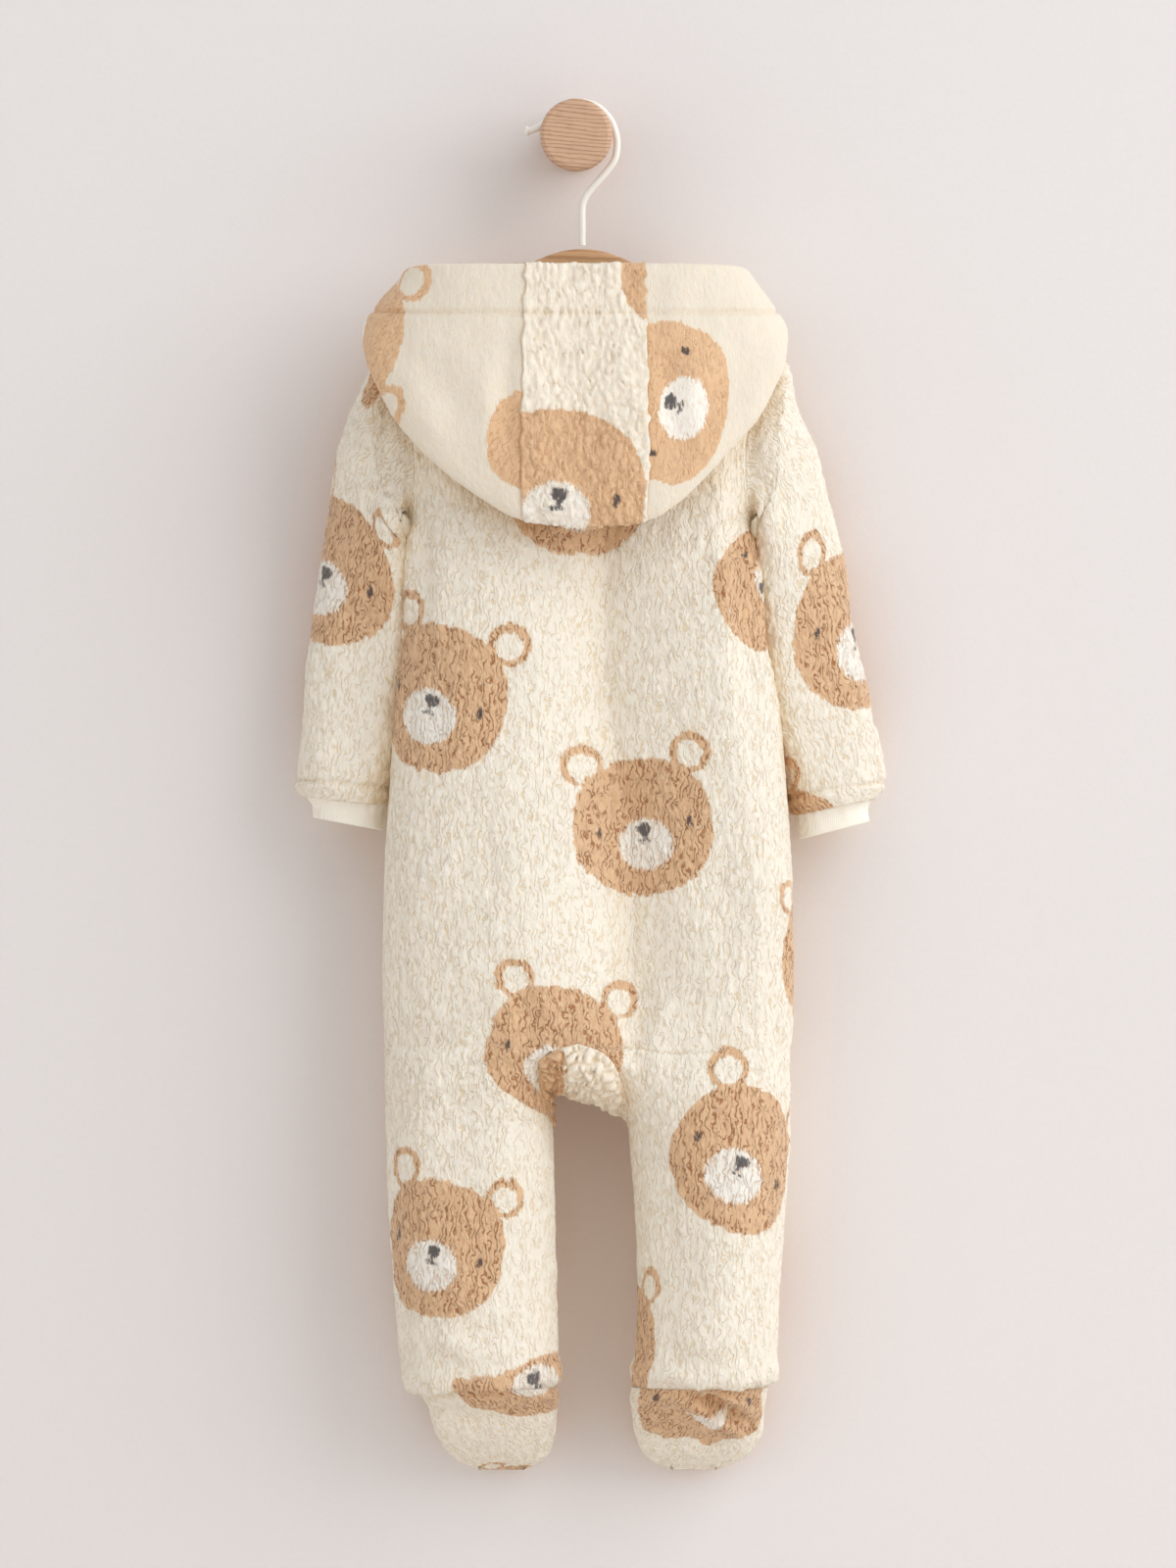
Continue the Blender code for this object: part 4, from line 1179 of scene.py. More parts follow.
def fleece_group() -> NodeTree:
    """Ink, tuft colour with shade painted into its crevices and cracks, and fine fibres of the teddy
    fleece, from the attributes of the mesh.

    Returns:
        The shared group.
    """
    colours = ("Cream tip", "Cream crevice shade", "Tan tip", "Tan crevice shade", "Pale", "Dark", "Backing")
    tree, wire, given, out = new_group(
        "fleece_pile", dict.fromkeys(colours, WHITE) | {"Fibre height": 0.5, "Cracks": 1.0},
        {"Color": "Color", "Roughness": "Float", "Normal": "Vector"})
    ink, pile = (wire.split(wire.node("Attribute", attribute_name=name).outputs["Vector"])
                 for name in ("print", "pile"))
    place = wire.place()
    strands = wire.noise(wire.stretched(place, (1, 1, 0.22)), 1500.0, 3.0, 0.6)
    curls = wire.noise(wire.stretched(place, (1, 1, 0.4)), 560.0, 2.0, 0.55)
    patches = wire.noise(place, 26.0, 2.0)
    swing = wire.noise(wire.stretched(place, (1, 1, 0.75)), 165.0, 1.0)
    quiver = wire.noise(wire.stretched(place, (1, 1, 0.7)), 430.0, 1.0)
    phase = wire.ramp(pile["Z"], 2000.0, wire.times(swing, 19.0))
    ridge = wire.math("SINE", wire.ramp(quiver, 10.0, phase))
    kept = wire.spread(wire.noise(wire.stretched(place, (1, 1, 0.6)), 260.0, 1.0), 0.36, 0.56)
    crack = wire.times(wire.spread(ridge, 0.30, 0.98), kept)
    crack = wire.times(crack, given["Cracks"])
    frayed = wire.math("SUBTRACT", wire.math("ADD", strands, curls), 1.0)
    # painted shade: the colour goes from the tips to the darker crevice colours at the tufts' roots,
    # near seams and in the cracks between locks
    tip = wire.ramp(pile["X"], 0.15, 0.85)
    tip = wire.math("SUBTRACT", tip, wire.times(crack, 0.85))
    tip = wire.math("ADD", tip, wire.times(frayed, 0.8), clamp=True)
    cream = wire.mix(tip, given["Cream crevice shade"], given["Cream tip"])
    tan = wire.mix(tip, given["Tan crevice shade"], given["Tan tip"])
    fray = wire.ramp(ridge, -0.10, wire.times(frayed, 1.5))
    tan_share, pale_share, dark_share = (
        wire.spread(wire.ramp(fray, wire.spread(ink[axis], 0.0, 0.25), ink[axis]), 0.22, high)
        for axis, high in (("X", 0.78), ("Y", 0.80), ("Z", 0.86)))
    color = wire.mix(tan_share, cream, tan)
    pale = wire.mix(tip, wire.mix(0.5, given["Pale"], given["Tan tip"]), given["Pale"])
    color = wire.mix(pale_share, color, pale)
    color = wire.mix(wire.times(dark_share, 0.9), color, given["Dark"])
    color = wire.brighten(color, wire.ramp(patches, 0.08, 0.96))
    knit = wire.noise(wire.stretched(place, (1, 1, 0.5)), 900.0, 1.0)
    shade = wire.mix(0.25, given["Backing"], given["Cream crevice shade"])
    backing = wire.mix(wire.spread(knit, 0.35, 0.65), shade, given["Backing"])
    wire.feed(out["Color"], wire.mix(pile["Y"], color, backing))
    wire.feed(out["Roughness"], wire.ramp(strands, -0.12, 0.97))
    locks = wire.times(wire.ramp(ridge, 0.3, crack), given["Cracks"])
    locks = wire.times(locks, wire.ramp(tan_share, 0.55, 0.45))
    raised = wire.math("SUBTRACT", wire.ramp(curls, 0.8, strands), locks)
    wire.feed(out["Normal"], wire.bump(raised, given["Fibre height"], 0.0009))
    return tree


def weave_group() -> NodeTree:
    """Fine knitted ribs with a little shade between them.

    Returns:
        The shared group.
    """
    tree, wire, given, out = new_group("fine_knit", {"Yarn": WHITE, "Gap": WHITE},
                                       {"Color": "Color", "Height": "Float"})
    place = wire.place()
    along = wire.split(place)
    rows = wire.math("SINE", wire.times(along["Z"], 5200.0))
    around = wire.math("ADD", along["X"], wire.times(along["Y"], 0.7))
    ribs = wire.math("SINE", wire.times(around, 5200.0))
    fuzz = wire.noise(place, 700.0, 3.0)
    height = wire.math("ADD", wire.times(rows, 0.18), wire.times(ribs, 0.5))
    height = wire.math("ADD", height, wire.times(fuzz, 0.9))
    wire.feed(out["Height"], height)
    wire.feed(out["Color"], wire.mix(wire.spread(height, -0.3, 0.7), given["Gap"], given["Yarn"]))
    return tree


def grain_group() -> NodeTree:
    """Wood with growth lines along X, fine pores and a little drift of colour.

    Returns:
        The shared group.
    """
    tree, wire, given, out = new_group("wood_grain", {
        "Early wood": WHITE, "Late wood": WHITE, "Lines": 160.0, "Pores": 0.5, "Wander": 0.01,
    }, {"Color": "Color", "Roughness": "Float", "Height": "Float"})
    place = wire.place()
    wander = wire.noise(wire.stretched(place, (1, 1.2, 1)), 22.0, 2.0)
    along = wire.split(place)
    across_grain = wire.math("ADD", along["Z"], wire.times(along["X"], 0.07))
    bent = wire.ramp(wander, given["Wander"], across_grain)
    uneven = wire.noise(wire.stretched(place, (0.05, 0.3, 1)), 210.0, 2.0)
    phase = wire.math("ADD", wire.times(bent, given["Lines"]), wire.times(uneven, 1.6))
    line = wire.math("FRACT", phase)
    late = wire.times(wire.spread(line, 0.45, 0.86),
                     wire.math("SUBTRACT", 1.0, wire.spread(line, 0.90, 1.0)))
    pores = wire.noise(wire.stretched(place, (0.06, 0.5, 1)), 2600.0, 2.0, 0.6)
    flecks = wire.times(wire.spread(pores, 0.52, 0.66), given["Pores"])
    share = wire.math("ADD", wire.times(late, 0.72), wire.times(flecks, 0.42), clamp=True)
    drift = wire.noise(wire.stretched(place, (0.4, 1, 1)), 60.0, 2.0)
    color = wire.mix(share, given["Early wood"], given["Late wood"])
    color = wire.brighten(color, wire.ramp(drift, 0.28, 0.86))
    wire.feed(out["Color"], color)
    wire.feed(out["Roughness"], wire.ramp(share, 0.18, 0.42))
    wire.feed(out["Height"], wire.times(share, -1.0))
    return tree


@dataclass(frozen=True)
class Fleece:
    """Teddy fleece, printed with tan heads.

    Fields are its name, the colour of its unprinted tips, how strongly the pile parts into locks and
    how much shade is painted into the cracks between them, and the strength of its fine relief.
    """

    name: str
    cream: Colour
    cracks: float
    fibre: float

    def make(self, groups: dict[str, NodeTree]) -> Material:
        """Make the material.

        Args:
            groups: the shared groups by name.

        Returns:
            The material.
        """
        material, wire, shader = new_material(self.name)
        pile = wire.group(groups["fleece"], {
            # the crevice colours are painted shade at the roots of the tufts and in their cracks
            "Cream tip": linear(*self.cream), "Cream crevice shade": linear(243, 225, 196),
            "Tan tip": linear(236, 197, 157), "Tan crevice shade": linear(170, 110, 64),
            "Pale": linear(255, 251, 243), "Dark": linear(54, 50, 58),
            "Backing": linear(240, 231, 212), "Fibre height": self.fibre, "Cracks": self.cracks,
        }).outputs
        wire.fill(shader, {
            # painted shade: the colour is darkened and warmed where ambient occlusion finds the suit
            # shut in
            "Base Color": wire.painted_hollow_shade(pile["Color"], 0.03, (0.45, 0.95), (0.90, 0.79, 0.64)),
            "Roughness": pile["Roughness"], "Normal": pile["Normal"],
            "Sheen Weight": 0.35, "Sheen Roughness": 0.6, "Sheen Tint": (1.0, 0.95, 0.86, 1),
            "Specular IOR Level": 0.15,
        })
        return material


@dataclass(frozen=True)
class Knit:
    """Fine plain knit or weave, of the cuffs and the zip's tape.

    Fields are its name, the colours of its yarn and of the gaps, the strength of its relief, its
    roughness and its sheen.
    """

    name: str
    yarn: Colour
    gap: Colour
    relief: float
    rough: float
    sheen: float = 0.0

    def make(self, groups: dict[str, NodeTree]) -> Material:
        """Make the material.

        Args:
            groups: the shared groups by name.

        Returns:
            The material.
        """
        material, wire, shader = new_material(self.name)
        knit = wire.group(groups["knit"], {
            "Yarn": linear(*self.yarn), "Gap": linear(*self.gap),
        }).outputs
        wire.fill(shader, {
            "Base Color": knit["Color"], "Normal": wire.bump(knit["Height"], self.relief, 0.0002),
            "Roughness": self.rough, "Sheen Weight": self.sheen,
        })
        return material


@dataclass(frozen=True)
class Coating:
    """Smooth coating with a faint cloud in its colour, of the teeth, the slider and the hook.

    Fields are its name, its darker and lighter colour, the scale and detail of the cloud, its
    least roughness and how much is added in places, whether it is rough in fine upright strokes,
    how far it is metal, and its clear coat.
    """

    name: str
    dark: Colour
    light: Colour
    cloud: tuple[float, float]
    rough: tuple[float, float]
    brushed: bool = False
    metal: float = 0.0
    coat: float = 0.0

    def make(self, _groups: dict[str, NodeTree]) -> Material:
        """Make the material.

        Args:
            _groups: the shared groups, which it has no need of.

        Returns:
            The material.
        """
        material, wire, shader = new_material(self.name)
        cloud = uneven = wire.noise(wire.place(), *self.cloud)
        if self.brushed:
            uneven = wire.noise(wire.stretched(wire.place(), (1, 1, 0.1)), 4200.0, 2.0)
        least, more = self.rough
        wire.fill(shader, {
            "Base Color": wire.mix(cloud, linear(*self.dark), linear(*self.light)),
            "Roughness": wire.ramp(uneven, more, least) if more else least,
            "Metallic": self.metal, "Coat Weight": self.coat,
        })
        return material


@dataclass(frozen=True)
class Wood:
    """Clear-finished wood.

    Fields are its name, its colours between and in the growth lines, how many lines lie in a
    metre, how strongly its pores show, and how far the lines stray in metres.
    """

    name: str
    early: Colour
    late: Colour
    lines: float
    pores: float
    wander: float

    def make(self, groups: dict[str, NodeTree]) -> Material:
        """Make the material.

        Args:
            groups: the shared groups by name.

        Returns:
            The material.
        """
        material, wire, shader = new_material(self.name)
        grain = wire.group(groups["grain"], {
            "Early wood": linear(*self.early), "Late wood": linear(*self.late),
            "Lines": self.lines, "Pores": self.pores, "Wander": self.wander,
        }).outputs
        wire.fill(shader, {
            "Base Color": grain["Color"], "Roughness": grain["Roughness"],
            "Normal": wire.bump(grain["Height"], 0.3, 0.0002),
        })
        return material


FINISHES = {
    "fleece": Fleece("curly_fleece", (255, 249, 237), 1.0, 0.75),
    # the brushed fleece's tips are a darker cream: painted shade in place of the crack shade that it
    # lacks
    "brushed": Fleece("brushed_fleece", (241, 232, 217), 0.4, 0.5),
    "fluffy": Fleece("fluffy_fleece", (255, 247, 233), 0.4, 0.6),
    "jersey": Knit("cuff_jersey", (254, 250, 240), (246, 238, 222), 0.2, 0.85, 0.2),
    "tape": Knit("zip_tape", (232, 222, 200), (205, 190, 162), 0.5, 0.7),
    "teeth": Coating("zip_teeth", (226, 214, 188), (240, 230, 208), (300, 2), (0.38, 0)),
    "metal": Coating("zip_metal", (196, 190, 178), (222, 216, 204), (400, 3), (0.22, 0.25),
                     brushed=True, metal=1.0),
    "enamel": Coating("hook_enamel", (246, 243, 235), (253, 251, 245), (120, 3), (0.30, 0.15),
                      coat=0.25),
    "hanger": Wood("hanger_beech", (206, 162, 120), (172, 124, 82), 230.0, 0.5, 0.012),
    "peg": Wood("peg_ash", (214, 176, 146), (172, 128, 96), 430.0, 1.0, 0.004),
}


def make_finishes() -> dict[str, Material]:
    """Make the shared node groups, and every finish of the object once."""
    groups = {"fleece": fleece_group(), "knit": weave_group(), "grain": grain_group()}
    return {name: finish.make(groups) for name, finish in FINISHES.items()}


def dress(piece: Object, material: Material) -> None:
    """Give a piece one material."""
    piece.data.materials.clear()
    piece.data.materials.append(material)


def settle(piece: Object, material: Material, node: str = "") -> Object:
    """Dress a piece of the garment's body, attach it to the garment's body and hide its solid.

    Args:
        piece: the piece.
        material: its finish.
        node: the solid that it replaces, or nothing.

    Returns:
        The piece.
    """
    dress(piece, material)
    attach(piece, "garment")
    if node:
        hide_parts(node)
    log.info("%s: %d faces", piece.name, len(piece.data.polygons))
    return piece


def hang(shell: Shell, material: Material, node: str, flat: tuple[float, float],
         area: float) -> None:
    """Build a piece of cloth, dress it and attach it to the garment's body.

    Args:
        shell: its shell.
        material: its finish.
        node: the solid that it replaces.
        flat: width and length of its cut, in metres; not used.
        area: flat area of its cut, in square metres; not used.
    """
    piece = settle(shell.build(), material, node)


# ---------- cloth pieces
def through(rows: ndarray, places: ndarray) -> ndarray:
    """Smooth curve through rows of points.

    Args:
        rows: (n, ..., 3) points that it passes through.
        places: where to read it, from 0 to n - 1.

    Returns:
        Points with the places on the first axis.
    """
    last = len(rows) - 1
    padded = np.concatenate((2 * rows[:1] - rows[1:2], rows, 2 * rows[-1:] - rows[-2:-1]))
    i = np.clip(np.floor(places).astype(int), 0, last - 1)
    f = (places - i).reshape(-1, *([1] * (rows.ndim - 1)))
    p, q, r, s = (padded[i + k] for k in range(4))
    return 0.5 * (2 * q + (r - p) * f + (2 * p - 5 * q + 4 * r - s) * f ** 2
                  + (3 * q - p - 3 * r + s) * f ** 3)


def evenly(rows: ndarray, count: int) -> ndarray:
    """Places on a row of keys that are evenly spaced along the middle of their curve.

    Args:
        rows: (n, m, 3) points.
        count: number of steps.

    Returns:
        count + 1 places from 0 to n - 1.
    """
    fine = np.linspace(0, len(rows) - 1, 40 * len(rows))
    lengths = np.linalg.norm(np.diff(through(rows, fine), axis=0), axis=-1).mean(axis=1)
    run = np.concatenate(([0], np.cumsum(lengths)))
    return np.interp(np.linspace(0, run[-1], count + 1), run, fine)


CURLY = Pile()
BRUSHED = Pile(width=3.2, length=9.0, height=0.25, sunk=0.1, waver=1.6, lump=0.25, seam=0.2, salt=3)
FLUFFY = Pile(width=5.0, length=6.0, height=3.2, sunk=0.0, seam=-0.6, lump=1.3, salt=5)
STRIP = Pile(width=4.0, length=7.0, height=1.7, sunk=0.0, seam=-0.9, lump=0.6)
BACK_HEADS = (
    Bear(-79, -311, 43, -17), Bear(37, -382, 40, 7), Bear(102, -251, 34, 124, ears=False),
    Bear(139, -456, 37, 0), Bear(-12, -507, 39, -12), Bear(92, -565, 42, -29),
    Bear(-78, -614, 40, -16), Bear(2, -195, 40, 0),
)
INSEAM_HEADS = {
    Side.LEFT: (Bear(-14, -537, 9, ears=False, face=False),),
    Side.RIGHT: (Bear(31, -668, 35, 0, face=False),),
}
ANKLE_HEAD = Bear(-24, -684, 46, 25)
SOLE_HEADS = (
    Bear(-28, -671, 46, 25), Bear(70, -697, 41, -4, nose=False, muzzle=(0.12, -0.36, 0.27, 0.13)),
    Bear(-29, -757, 25, 0),
)
FRONT_HEADS = (
    Bear(-49, -153, 39, 14), Bear(60, -207, 40, -22), Bear(-72, -299, 39, -8),
    Bear(98, -337, 39, 20), Bear(-37, -429, 40, 5), Bear(71, -483, 39, -28),
    Bear(-60, -624, 39, -14), Bear(82, -644, 39, 9), Bear(-15, -526, 38, 24),
    Bear(39, -564, 35, 0),
)
TOP_HEADS = (Bear(-48, -693, 38, -20), Bear(71, -704, 38, 12))
SLEEVE_HEADS = {
    Side.LEFT: (Bear(-138, -240, 43, -24, wide=1.3), Bear(-113, -140, 13, ears=False, face=False)),
    Side.RIGHT: (Bear(154, -274, 47, 0), Bear(123, -397, 37, -32)),
}
HIDDEN_SLEEVE_HEADS = {
    Side.LEFT: (Bear(-114, -190, 33, 18), Bear(-121, -303, 34, -12)),
    Side.RIGHT: (Bear(119, -206, 33, -16), Bear(136, -311, 34, 8)),
}
HOOD_HEADS = {
    "left": (Bear(-121, -116, 48, -90), Bear(-22, -170, 29, ears=False, face=False)),
    "centre": (Bear(-9, -198, 47.5, -8, ears=False), Bear(58, -77, 34, ears=False, face=False)),
    "right": (Bear(50, -149, 45, 70, ears=False),),
}
HIDDEN_HOOD_HEADS = {
    "left": (Bear(-64, -89, 35, 30),),
    "right": (Bear(71, -105, 35, -20),),
}

# Smaller creases that are listed one by one, each unlike its neighbours.
BODY_CREASES = {
    Face.BACK: (
        Crease(((-92, -170), (-84, -215), (-88, -262), (-90, -300)), 7, 3.2, 1.0),
        Crease(((92, -165), (90, -220), (95, -280), (97, -330)), 7, 2.6, 0.9),
        Crease(((-48, -240), (-40, -300), (-44, -352)), 11, 1.5, 0.6),
        Crease(((38, -540), (46, -590), (50, -645), (54, -684)), 14, 5.0, 0.6),
        Crease(((88, -360), (84, -410), (90, -470)), 12, 2.4, 0.6),
        Crease(((-60, -500), (-66, -560), (-60, -620)), 12, 1.8, 0.7),
        Crease(((70, -560), (63, -610), (69, -655)), 11, 1.7, 0.7),
        Crease(((-36, -455), (-26, -490), (-22, -508)), 7, 2.2, 1.1),
        Crease(((42, -470), (33, -498), (27, -516)), 7, 2.2, 1.1),
        Crease(((-88, -672), (-62, -682), (-34, -676)), 6, 2.2, 1.2),
        Crease(((44, -668), (66, -681), (98, -676)), 6, 2.2, 1.2),
        Crease(((-70, -655), (-50, -663), (-30, -660)), 7, 1.4, 0.7),
    ),
    Face.FRONT: (
        Crease(((-80, -150), (-62, -210), (-66, -280)), 10, 2.6, 1.0),
        Crease(((78, -160), (66, -230), (72, -300)), 10, 2.4, 0.9),
        Crease(((-40, -330), (-52, -400), (-46, -470)), 12, 2.0, 0.8),
        Crease(((52, -350), (60, -430), (50, -490)), 12, 2.1, 0.8),
        Crease(((-38, -470), (-28, -498), (-23, -514)), 7, 2.4, 1.1),
        Crease(((44, -466), (34, -494), (28, -512)), 7, 2.3, 1.1),
        Crease(((-66, -560), (-58, -610), (-64, -650)), 11, 1.7, 0.7),
        Crease(((76, -570), (68, -620), (74, -660)), 11, 1.6, 0.6),
        Crease(((-88, -674), (-60, -683), (-30, -676)), 6, 2.2, 1.1),
        Crease(((44, -672), (68, -682), (98, -675)), 6, 2.2, 1.1),
    ),
}
FOOT_CREASES = {
    Face.BACK: (
        Crease(((44, -676), (66, -694), (99, -716)), 4, 7.5, 3.0),
        Crease(((-75, -704), (-55, -711), (-37, -708)), 5, 1.6, 0.8),
        Crease(((60, -720), (77, -725), (94, -716)), 4, 1.4, 0.6),
    ),
    Face.FRONT: (
        Crease(((-80, -704), (-53, -716), (-26, -710)), 6, 2.0, 0.8),
        Crease(((44, -704), (69, -718), (98, -708)), 6, 2.2, 0.9),
    ),
}
SLEEVE_CREASES = {
    Side.LEFT: (
        Crease(((-104, -143), (-110, -170), (-106, -207)), 8, 2.6, 0.9),
        Crease(((-127, -180), (-134, -229), (-131, -272)), 11, 1.8, 0.7),
        Crease(((-117, -251), (-123, -305), (-119, -348)), 12, 1.6, 0.7),
        Crease(((-146, -321), (-134, -340), (-112, -342)), 8, 1.2, 0.6),
    ),
    Side.RIGHT: (
        Crease(((112, -143), (118, -180), (114, -218)), 8, 2.6, 0.9),
        Crease(((137, -197), (143, -245), (139, -283)), 11, 1.9, 0.7),
        Crease(((127, -272), (137, -315), (135, -353)), 12, 1.5, 0.7),
        Crease(((161, -305), (148, -333), (126, -337)), 8, 1.2, 0.6),
    ),
}
HOOD_CREASES = (
    Crease(((-37, -116), (-35, -153), (-39, -186)), 7, 2.2, 1.0),
    Crease(((48, -116), (51, -153), (55, -180)), 7, 2.0, 1.0),
    Crease(((-80, -121), (-73, -143), (-57, -164)), 9, 1.6, 0.8),
    Crease(((93, -116), (83, -143), (67, -164)), 9, 1.6, 0.8),
    Crease(((-4, -121), (4, -159), (0, -197)), 11, 1.4, 0.7),
)


@dataclass
class Suit:
    """Back, fronts, gusset and feet of the suit.

    Fields are the numbers of steps across a quarter and down each stretch.
    """

    finishes: dict[str, Material]
    back_columns: int = 125
    front_columns: int = 90
    gusset_steps: int = 90
    foot_steps: tuple[int, int] = (75, 100)
    back_rows: tuple[int, int, int] = (235, 40, 80)
    front_rows: tuple[int, int, int] = (200, 35, 70)
    valley: tuple[float, float, float] = (15.0, 68.0, 29.0)  # place across, reach and depth

    def make(self) -> None:
        """Build every piece of the suit's body."""
        self.back()
        for side in Side:
            self.front(side)
        self.gusset()
        for side in Side:
            for face in Face:
                self.foot(side, face)

    def panel(self, side: Side, face: Face) -> Grid:
        """Grid of one half of the back, or of one front.

        Args:
            side: which half.
            face: back or front.

        Returns:
            The grid, from the side seam to the middle line.
        """
        back = face is Face.BACK
        rows = self.back_rows if back else self.front_rows
        columns = self.back_columns if back else self.front_columns
        z = steps((NECK, CROTCH, rows[0]), (CROTCH, INSEAM, rows[1]), (INSEAM, HEEL, rows[2]))
        first = armhole_turn(z)
        last = np.ones_like(z) if back else front_turn(z)
        share = np.linspace(0, 1, columns + 1)
        t = last[:, None] * share + first[:, None] * (1 - share) ** 2.5
        grid = Grid(SUIT_FORM.point(side, face, z[:, None], t), upright=True)
        grid.face((0, -1 if back else 1, 0)).sew(Edge.START, Edge.TOP, Edge.BOTTOM, Edge.END)
        if back:
            grid.seams[Edge.END] = (rows[0], len(z) - 1)
        leg = 65.0 if side is Side.RIGHT else -45.0
        grid.unroll(3 + (leg - 3) * smooth((-460 - z) / 90))
        return grid

    def swell(self, grid: Grid, face: Face) -> ndarray:
        """Broad folds of the hanging body, as height over the sections.

        Args:
            grid: the panel.
            face: back or front.

        Returns:
            Height in millimetres.
        """
        x, z = grid.points[..., 0], grid.points[..., 2]
        place, reach, depth = self.valley
        line = place + 16 * smooth((-275 - z) / 150)
        if face is Face.FRONT:
            line, depth = line + 30, depth * 0.4
        away = np.sqrt(((x - line) / reach) ** 2 + 0.002)
        span = smooth((z + 535) / 80) * smooth((-150 - z) / 60)
        height = -depth * np.clip(1 - away, 0, 1) ** np.where(x < line, 1.7, 1.1) * span
        over_ankle = grid.b[-1:] - grid.b
        height += 3.0 * np.exp(-((over_ankle - 9) / 7.5) ** 2)
        salt = 5 if face is Face.BACK else 15
        height += 1.5 * soft_noise(grid.points, (38, 60, 90), salt)
        height += 0.7 * soft_noise(grid.points, (18, 40, 45), salt + 1)
        for crease in BODY_CREASES[face]:
            height += crease.height(x, z)
        far = grid.a if face is Face.BACK else np.minimum(grid.a, grid.a[:, -1:] - grid.a)
        return height * smooth(far / 14) * smooth(grid.b / 14) * smooth(over_ankle / 5) \
            * self.inseam(grid, face)

    def hung_panel(self, side: Side, face: Face) -> Grid:
        """Panel with its folds, lapped over the ankle.

        Args:
            side: which half.
            face: back or front.

        Returns:
            The panel.
        """
        grid = self.panel(side, face)
        grid.shift(self.swell(grid, face))
        self.lap(grid)
        return grid

    @staticmethod
    def lap(grid: Grid) -> None:
        """Let the cloth above the ankle seam sag over the foot, unevenly.

        Args:
            grid: the panel, from the neck to its ankle seam.
        """
        near = np.exp(-((grid.b[-1:] - grid.b - 7) / 4.5) ** 2)
        sag = near * (6.0 + 2.2 * soft_noise(grid.points, (14, 40, 40), 83)
                      + 2.2 * soft_noise(grid.points, (4.5, 20, 20), 84))
        x = grid.points[..., 0]
        sag *= 1 - 0.8 * smooth((x + 44) / 26) * (x < 10)
        sag -= 5.5 * near * (x > 10)
        rest = grid.a, grid.b
        grid.points[..., 2] -= sag
        grid.measure()
        grid.a, grid.b = rest

    @staticmethod
    def inseam(grid: Grid, face: Face) -> ndarray:
        """Keep folds off the seams between the legs.

        Args:
            grid: the panel.
            face: back or front.

        Returns:
            0 at those seams, eased to 1 away from them.
        """
        start, _ = grid.seams[Edge.END]
        if face is Face.FRONT:
            return np.ones(grid.a.shape)
        past = np.maximum(grid.b[start:start + 1] - grid.b, 0)
        return smooth(np.hypot(grid.a[:, -1:] - grid.a, past) / 14)

    def back(self) -> None:
        """Back panel with both of its legs."""
        shell = Shell("back_fleece", "fleece")
        left, right = (self.hung_panel(side, Face.BACK) for side in Side)
        split = self.back_rows[0] + 1
        shared = unit(left.normals[:split, -1] + right.normals[:split, -1])
        middle = (left.points[:split, -1] + right.points[:split, -1]) / 2
        for side, grid in zip(Side, (left, right)):
            grid.normals[:split, -1] = shared
            grid.points[:split, -1] = middle
            shell.add(grid, CURLY, BACK_HEADS + INSEAM_HEADS[side])
        # the left sole's head goes on over the ankle seam, up to where the leg's pile laps it
        x, z = left.points[..., 0], left.points[..., 2]
        below = smooth((-684 + 13 * smooth((x + 52) / 42) - z) / 2.5)
        Shell.overprint(left, (ANKLE_HEAD,), share=below)
        hang(shell, self.finishes["fleece"], "back", (0.335, 0.62), 0.175)

    def front(self, side: Side) -> None:
        """One front panel with its leg.

        Args:
            side: which half.
        """
        shell = Shell(f"front_{side.value}_fleece", "fleece")
        shell.add(self.hung_panel(side, Face.FRONT), CURLY, FRONT_HEADS)
        hang(shell, self.finishes["fleece"], f"front_{side.value}", (0.165, 0.62), 0.085)

    def gusset(self) -> None:
        """Diamond between the legs, blended from its four seam lines."""
        count = self.gusset_steps
        share = np.linspace(0, 1, count + 1)
        z = np.interp(share * (len(SPLIT_ROWS) - 1), np.arange(len(SPLIT_ROWS)), SPLIT_ROWS)
        edge = {(side, face): SUIT_FORM.point(side, face, z, 1.0) for side in Side for face in Face}
        u, v = share[:, None, None], share[None, :, None]
        left_back = edge[Side.LEFT, Face.BACK]
        right_front = edge[Side.RIGHT, Face.FRONT][::-1]
        right_back = edge[Side.RIGHT, Face.BACK]
        left_front = edge[Side.LEFT, Face.FRONT][::-1]
        corners = (left_back[0] * (1 - u) * (1 - v) + left_back[-1] * u * (1 - v)
                   + right_back[-1] * (1 - u) * v + right_front[-1] * u * v)
        points = (left_back[:, None] * (1 - v) + right_front[:, None] * v
                  + right_back[None] * (1 - u) + left_front[None] * u - corners)
        drop = 16 * u * (1 - u) * v * (1 - v)
        points[..., 2:] -= drop * (GUSSET_SAG + 0.4 * (points[..., :1] - 3))
        points[..., 1:2] -= 24 * drop * np.clip(1 - (u + v) / 1.4, 0, 1)
        grid = Grid(points).face((0, 0, -1)).sew(*Edge)
        shell = Shell("gusset_fleece", "fleece")
        shell.add(grid, FLUFFY, fade=2.0)
        inked = -5 - grid.points[..., 0] + 3 * soft_noise(grid.points, 4.0, 87)
        grid.print[..., 0] = smooth(inked / 2.5)
        hang(shell, self.finishes["fluffy"], "crotch_gusset", (0.09, 0.09), 0.0075)

